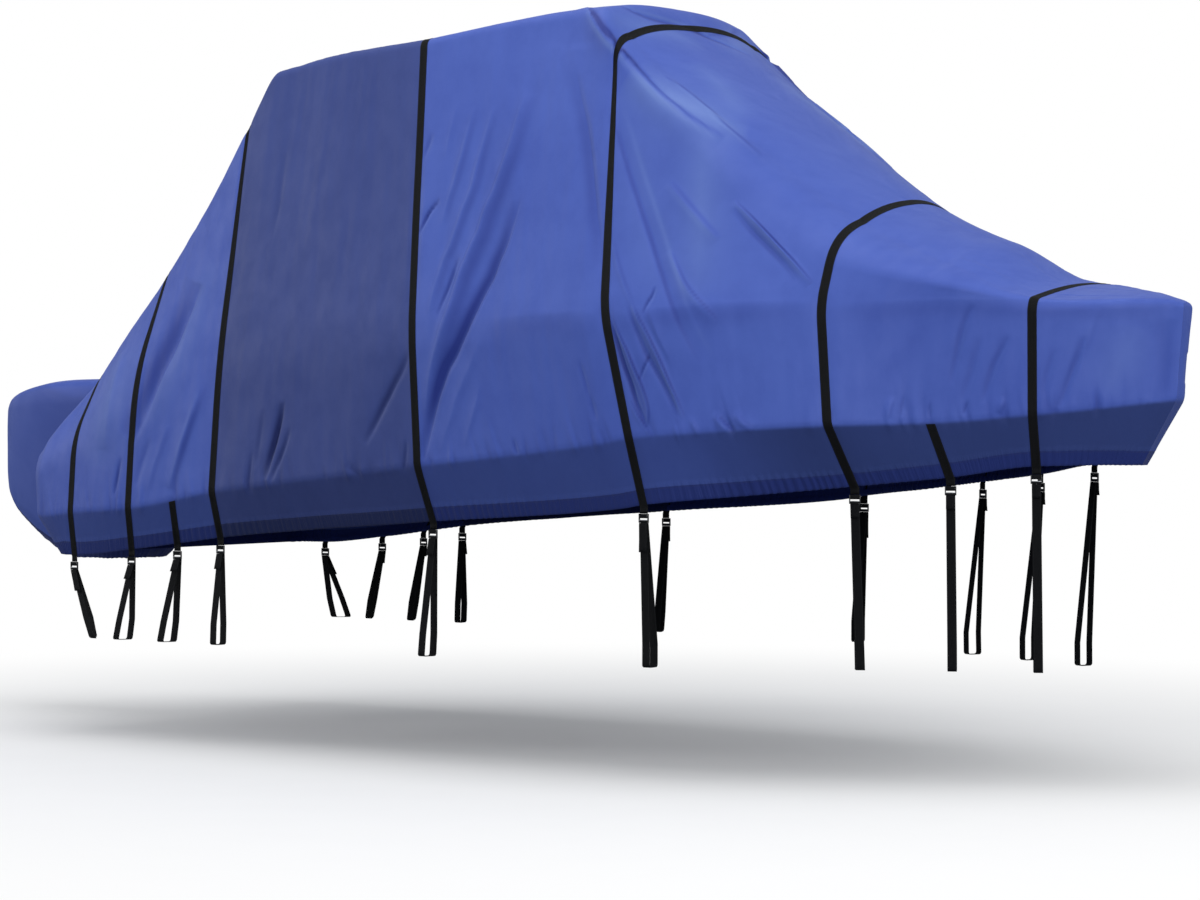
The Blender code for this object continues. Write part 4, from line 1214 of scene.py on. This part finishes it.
def make_cloth(name, dye, skirt_shade_share, roughness):
    """Coated woven polyester with its weave, slubs, hem stitching and gathers, and painted shade and
    highlights on its folds and skirt.
    """
    graph = Graph(name)
    along, hem, above = graph.places()
    broad = graph.noise((1.1, 0.8, 0.0), 3.0)
    mottle = graph.noise((9.0, 6.0, 0.0), 4.0, 0.6)
    warp = graph.noise((420.0, 14.0, 0.0), 2.0)
    weft = graph.noise((14.0, 420.0, 0.0), 2.0)
    shade = graph.mix(graph.ramp(broad, 0.3, 0.7), dye.plain, dye.faded)
    shade = graph.mix(graph.ramp(mottle, 0.35, 0.75, 0.0, 0.10), shade, dye.deep)
    streak = graph.times(graph.ramp(warp, 0.3, 0.7), graph.ramp(weft, 0.3, 0.7))
    shade = graph.mix(graph.times(streak, 0.25), shade, dye.faded)
    # painted shade in the creases and puckers, and painted highlights beside them and on broad lit patches
    painted_fold_shading = graph.node("ShaderNodeAttribute", attribute_name="shade").outputs["Fac"]
    shade = graph.mix(graph.ramp(painted_fold_shading, 0.0, 1.0, 0.0, 0.80, False), shade, dye.deep)
    shade = graph.mix(graph.ramp(painted_fold_shading, 0.0, -1.0, 0.0, 0.85, False), shade, dye.lit)
    # painted shade below the lower crease, where the skirt faces down, and on the hood's sides; deeper
    # towards the bow
    skirt_shade_mask = graph.ramp(above, -0.020, 0.004, 1.0, 0.0)
    share = graph.ramp(along, *BOW_SKIRT_SHADE, skirt_shade_share, skirt_shade_share + BOW_SKIRT_SHADE_SHARE)
    shade = graph.mix(graph.times(skirt_shade_mask, share), shade, dye.low)
    # the hem band is drawn darker
    in_band = graph.ramp(hem, HEM_BAND - 0.001, HEM_BAND + 0.002, 1.0, 0.0)
    shade = graph.mix(graph.times(in_band, 0.90), shade, graph.mix(0.5, dye.deep, dye.low))
    thread = graph.math("MAXIMUM", *(graph.stitches(along, hem, line, *HEM_STITCH) for line in HEM_LINES))
    shade = graph.mix(graph.times(thread, 0.6), shade, HEM_THREAD)
    rough = graph.ramp(mottle, 0.3, 0.7, roughness - 0.05, roughness + 0.06)
    weave = graph.bump(graph.threads(along, hem, THREAD_PITCH), 0.0002, 0.35)
    slubs = graph.bump(graph.math("ADD", warp, weft), 0.0004, 0.25, weave)
    crinkle = graph.bump(graph.noise((26.0, 11.0, 0.0), 4.0, 0.55), 0.004, 0.30, slubs)
    gather_wave = graph.noise((95.0, 5.0, 0.0), 2.0)
    gathers = graph.times(gather_wave, graph.ramp(hem, HEM_BAND, HEM_BAND + 0.03, 1.0, 0.0))
    gathered = graph.bump(gathers, 0.006, 0.6, crinkle)
    sunk = graph.bump(graph.times(thread, -1.0), 0.0010, 0.5, gathered)
    return graph.finish(shade, rough, sunk, Specular_IOR_Level=0.25, Sheen_Weight=0.05, Sheen_Roughness=0.45)


def make_webbing():
    """Black polypropylene webbing: ribs across, stitched along both edges."""
    graph = Graph("woven_webbing")
    along, across, _ = graph.places()
    rib = graph.math("SINE", graph.times(along, 2 * math.pi / WEBBING_PITCH[0]))
    cross = graph.math("SINE", graph.times(across, 2 * math.pi / WEBBING_PITCH[1]))
    weave = graph.math("ADD", rib, graph.times(graph.times(rib, cross), 0.6))
    off = graph.math("ABSOLUTE", across)
    line = graph.stitches(along, off, WEBBING_LINE, *WEBBING_STITCH)
    fluff = graph.noise((180.0, 500.0, 0.0), 3.0)
    shade = graph.mix(graph.ramp(weave, -1.6, 1.6), *WEBBING_TONES)
    shade = graph.mix(graph.ramp(fluff, 0.4, 0.8, 0.0, 0.20), shade, WEBBING_FLUFF)
    shade = graph.mix(graph.ramp(off, *WEBBING_EDGE, 0.0, 0.5), shade, WEBBING_WORN)
    shade = graph.mix(line, shade, WEBBING_THREAD)
    bump = graph.bump(weave, 0.0004, 0.6)
    bump = graph.bump(graph.times(line, -1.0), 0.0008, 0.6, bump)
    return graph.finish(shade, graph.ramp(fluff, 0.3, 0.7, 0.55, 0.72), bump, Specular_IOR_Level=0.12)


def make_acetal():
    """Black moulded plastic, finely pitted."""
    graph = Graph("moulded_acetal")
    grain = graph.noise((900.0, 900.0, 900.0), 3.0, places=False)
    broad = graph.noise((60.0, 60.0, 60.0), 2.0, places=False)
    shade = graph.mix(broad, *ACETAL_TONES)
    return graph.finish(shade, graph.ramp(grain, 0.3, 0.7, 0.34, 0.48), graph.bump(grain, 0.0002, 0.3))


def make_bar():
    """Pale metal of the slide bar, brushed along its length."""
    graph = Graph("brushed_bar")
    brushed = graph.noise((40.0, 1500.0, 1500.0), 3.0, places=False)
    shade = graph.mix(brushed, *BAR_TONES)
    rough = graph.ramp(brushed, 0.3, 0.7, 0.28, 0.45)
    return graph.finish(shade, rough, graph.bump(brushed, 0.0001, 0.3), Metallic=0.7)


def make_floor():
    """Pale matte floor that fades into the white backdrop, and throws little light back."""
    graph = Graph("pale_floor")
    speck = graph.noise((3.0, 3.0, 3.0), 3.0, places=False)
    seen = graph.mix(speck, *FLOOR_TONES)
    path = graph.node("ShaderNodeLightPath")
    shade = graph.mix(path.outputs["Is Camera Ray"], FLOOR_BOUNCE, seen)
    graph.link(shade, graph.shader.inputs["Base Color"])
    graph.shader.inputs["Roughness"].default_value = 0.9
    graph.shader.inputs["Specular IOR Level"].default_value = 0.1
    place = graph.node("ShaderNodeTexCoord").outputs["Object"]
    distance = graph.node("ShaderNodeVectorMath", operation="LENGTH")
    graph.link(place, distance.inputs[0])
    faded = graph.ramp(distance.outputs["Value"], *FLOOR_FADE)
    glow = graph.times(faded, path.outputs["Is Camera Ray"])
    white = graph.node("ShaderNodeEmission")
    both = graph.node("ShaderNodeMixShader")
    graph.link(glow, both.inputs[0])
    graph.link(graph.shader.outputs[0], both.inputs[1])
    graph.link(white.outputs[0], both.inputs[2])
    graph.link(both.outputs[0], graph.tree.nodes["Material Output"].inputs["Surface"])
    return graph.material


def make_backdrop():
    """White light of the backdrop."""
    graph = Graph("white_backdrop")
    glow = graph.node("ShaderNodeEmission")
    glow.inputs["Strength"].default_value = 1.0
    graph.link(glow.outputs[0], graph.tree.nodes["Material Output"].inputs["Surface"])
    return graph.material


def add_stage(name, material, make, **sizes):
    """A mesh of the stage, made by one bmesh call, at the height of the ground."""
    mesh = bmesh.new()
    make(mesh, **sizes)
    data = bpy.data.meshes.new(name)
    mesh.to_mesh(data)
    mesh.free()
    data.materials.append(material)
    item = add_object(name, data)
    item.location = (0, 0, -ROOF_HEIGHT)
    return item


def build_stage():
    """Pale floor, and a white dome behind it that only the camera sees."""
    floor = add_stage("floor", make_floor(), bmesh.ops.create_grid,
                      x_segments=2, y_segments=2, size=FLOOR_SIZE / 2)
    dome = add_stage("backdrop", make_backdrop(), bmesh.ops.create_uvsphere,
                     u_segments=64, v_segments=32, radius=DOME_RADIUS)
    for ray in ("diffuse", "glossy", "transmission", "volume_scatter", "shadow"):
        setattr(dome, "visible_" + ray, False)


def add_light(light):
    """A soft square light aimed at a point."""
    data = bpy.data.lights.new(light.name, "AREA")
    data.shape = "RECTANGLE"
    data.size, data.size_y = light.size
    data.energy = light.power
    item = add_object(light.name, data)
    item.location = light.place
    aim = Vector(light.target) - Vector(light.place)
    item.rotation_euler = aim.to_track_quat("-Z", "Y").to_euler()


def build_light():
    """Soft studio light: five wide lights in a dim surround."""
    world = bpy.data.worlds.new("studio")
    world.use_nodes = True
    background = world.node_tree.nodes["Background"]
    background.inputs["Color"].default_value = SURROUND_COLOUR
    background.inputs["Strength"].default_value = SURROUND_STRENGTH
    bpy.context.scene.world = world
    for light in LIGHTS:
        add_light(light)


def build_camera():
    """Camera at the photograph's angle."""
    data = bpy.data.cameras.new("camera")
    data.lens = CAMERA_LENS
    data.sensor_width = SENSOR
    data.clip_end = 300.0
    camera = add_object("camera", data)
    camera.location = CAMERA_PLACE
    camera.rotation_euler = Vector(view_axes()[0]).to_track_quat("-Z", "Y").to_euler()
    bpy.context.scene.camera = camera
    bpy.context.scene.view_settings.view_transform = "Standard"


def main():
    """Build the scene."""
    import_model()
    materials = {
        "royal": make_cloth("royal_cloth", ROYAL, 0.48, 0.56),
        "navy": make_cloth("navy_cloth", NAVY, 0.22, 0.60),
        "webbing": make_webbing(),
        "acetal": make_acetal(),
        "bar": make_bar(),
    }
    build_camera()
    build_panels(materials)
    turns = build_straps(materials)
    build_ties(turns, materials)
    build_hood(materials)
    build_stage()
    build_light()


main()
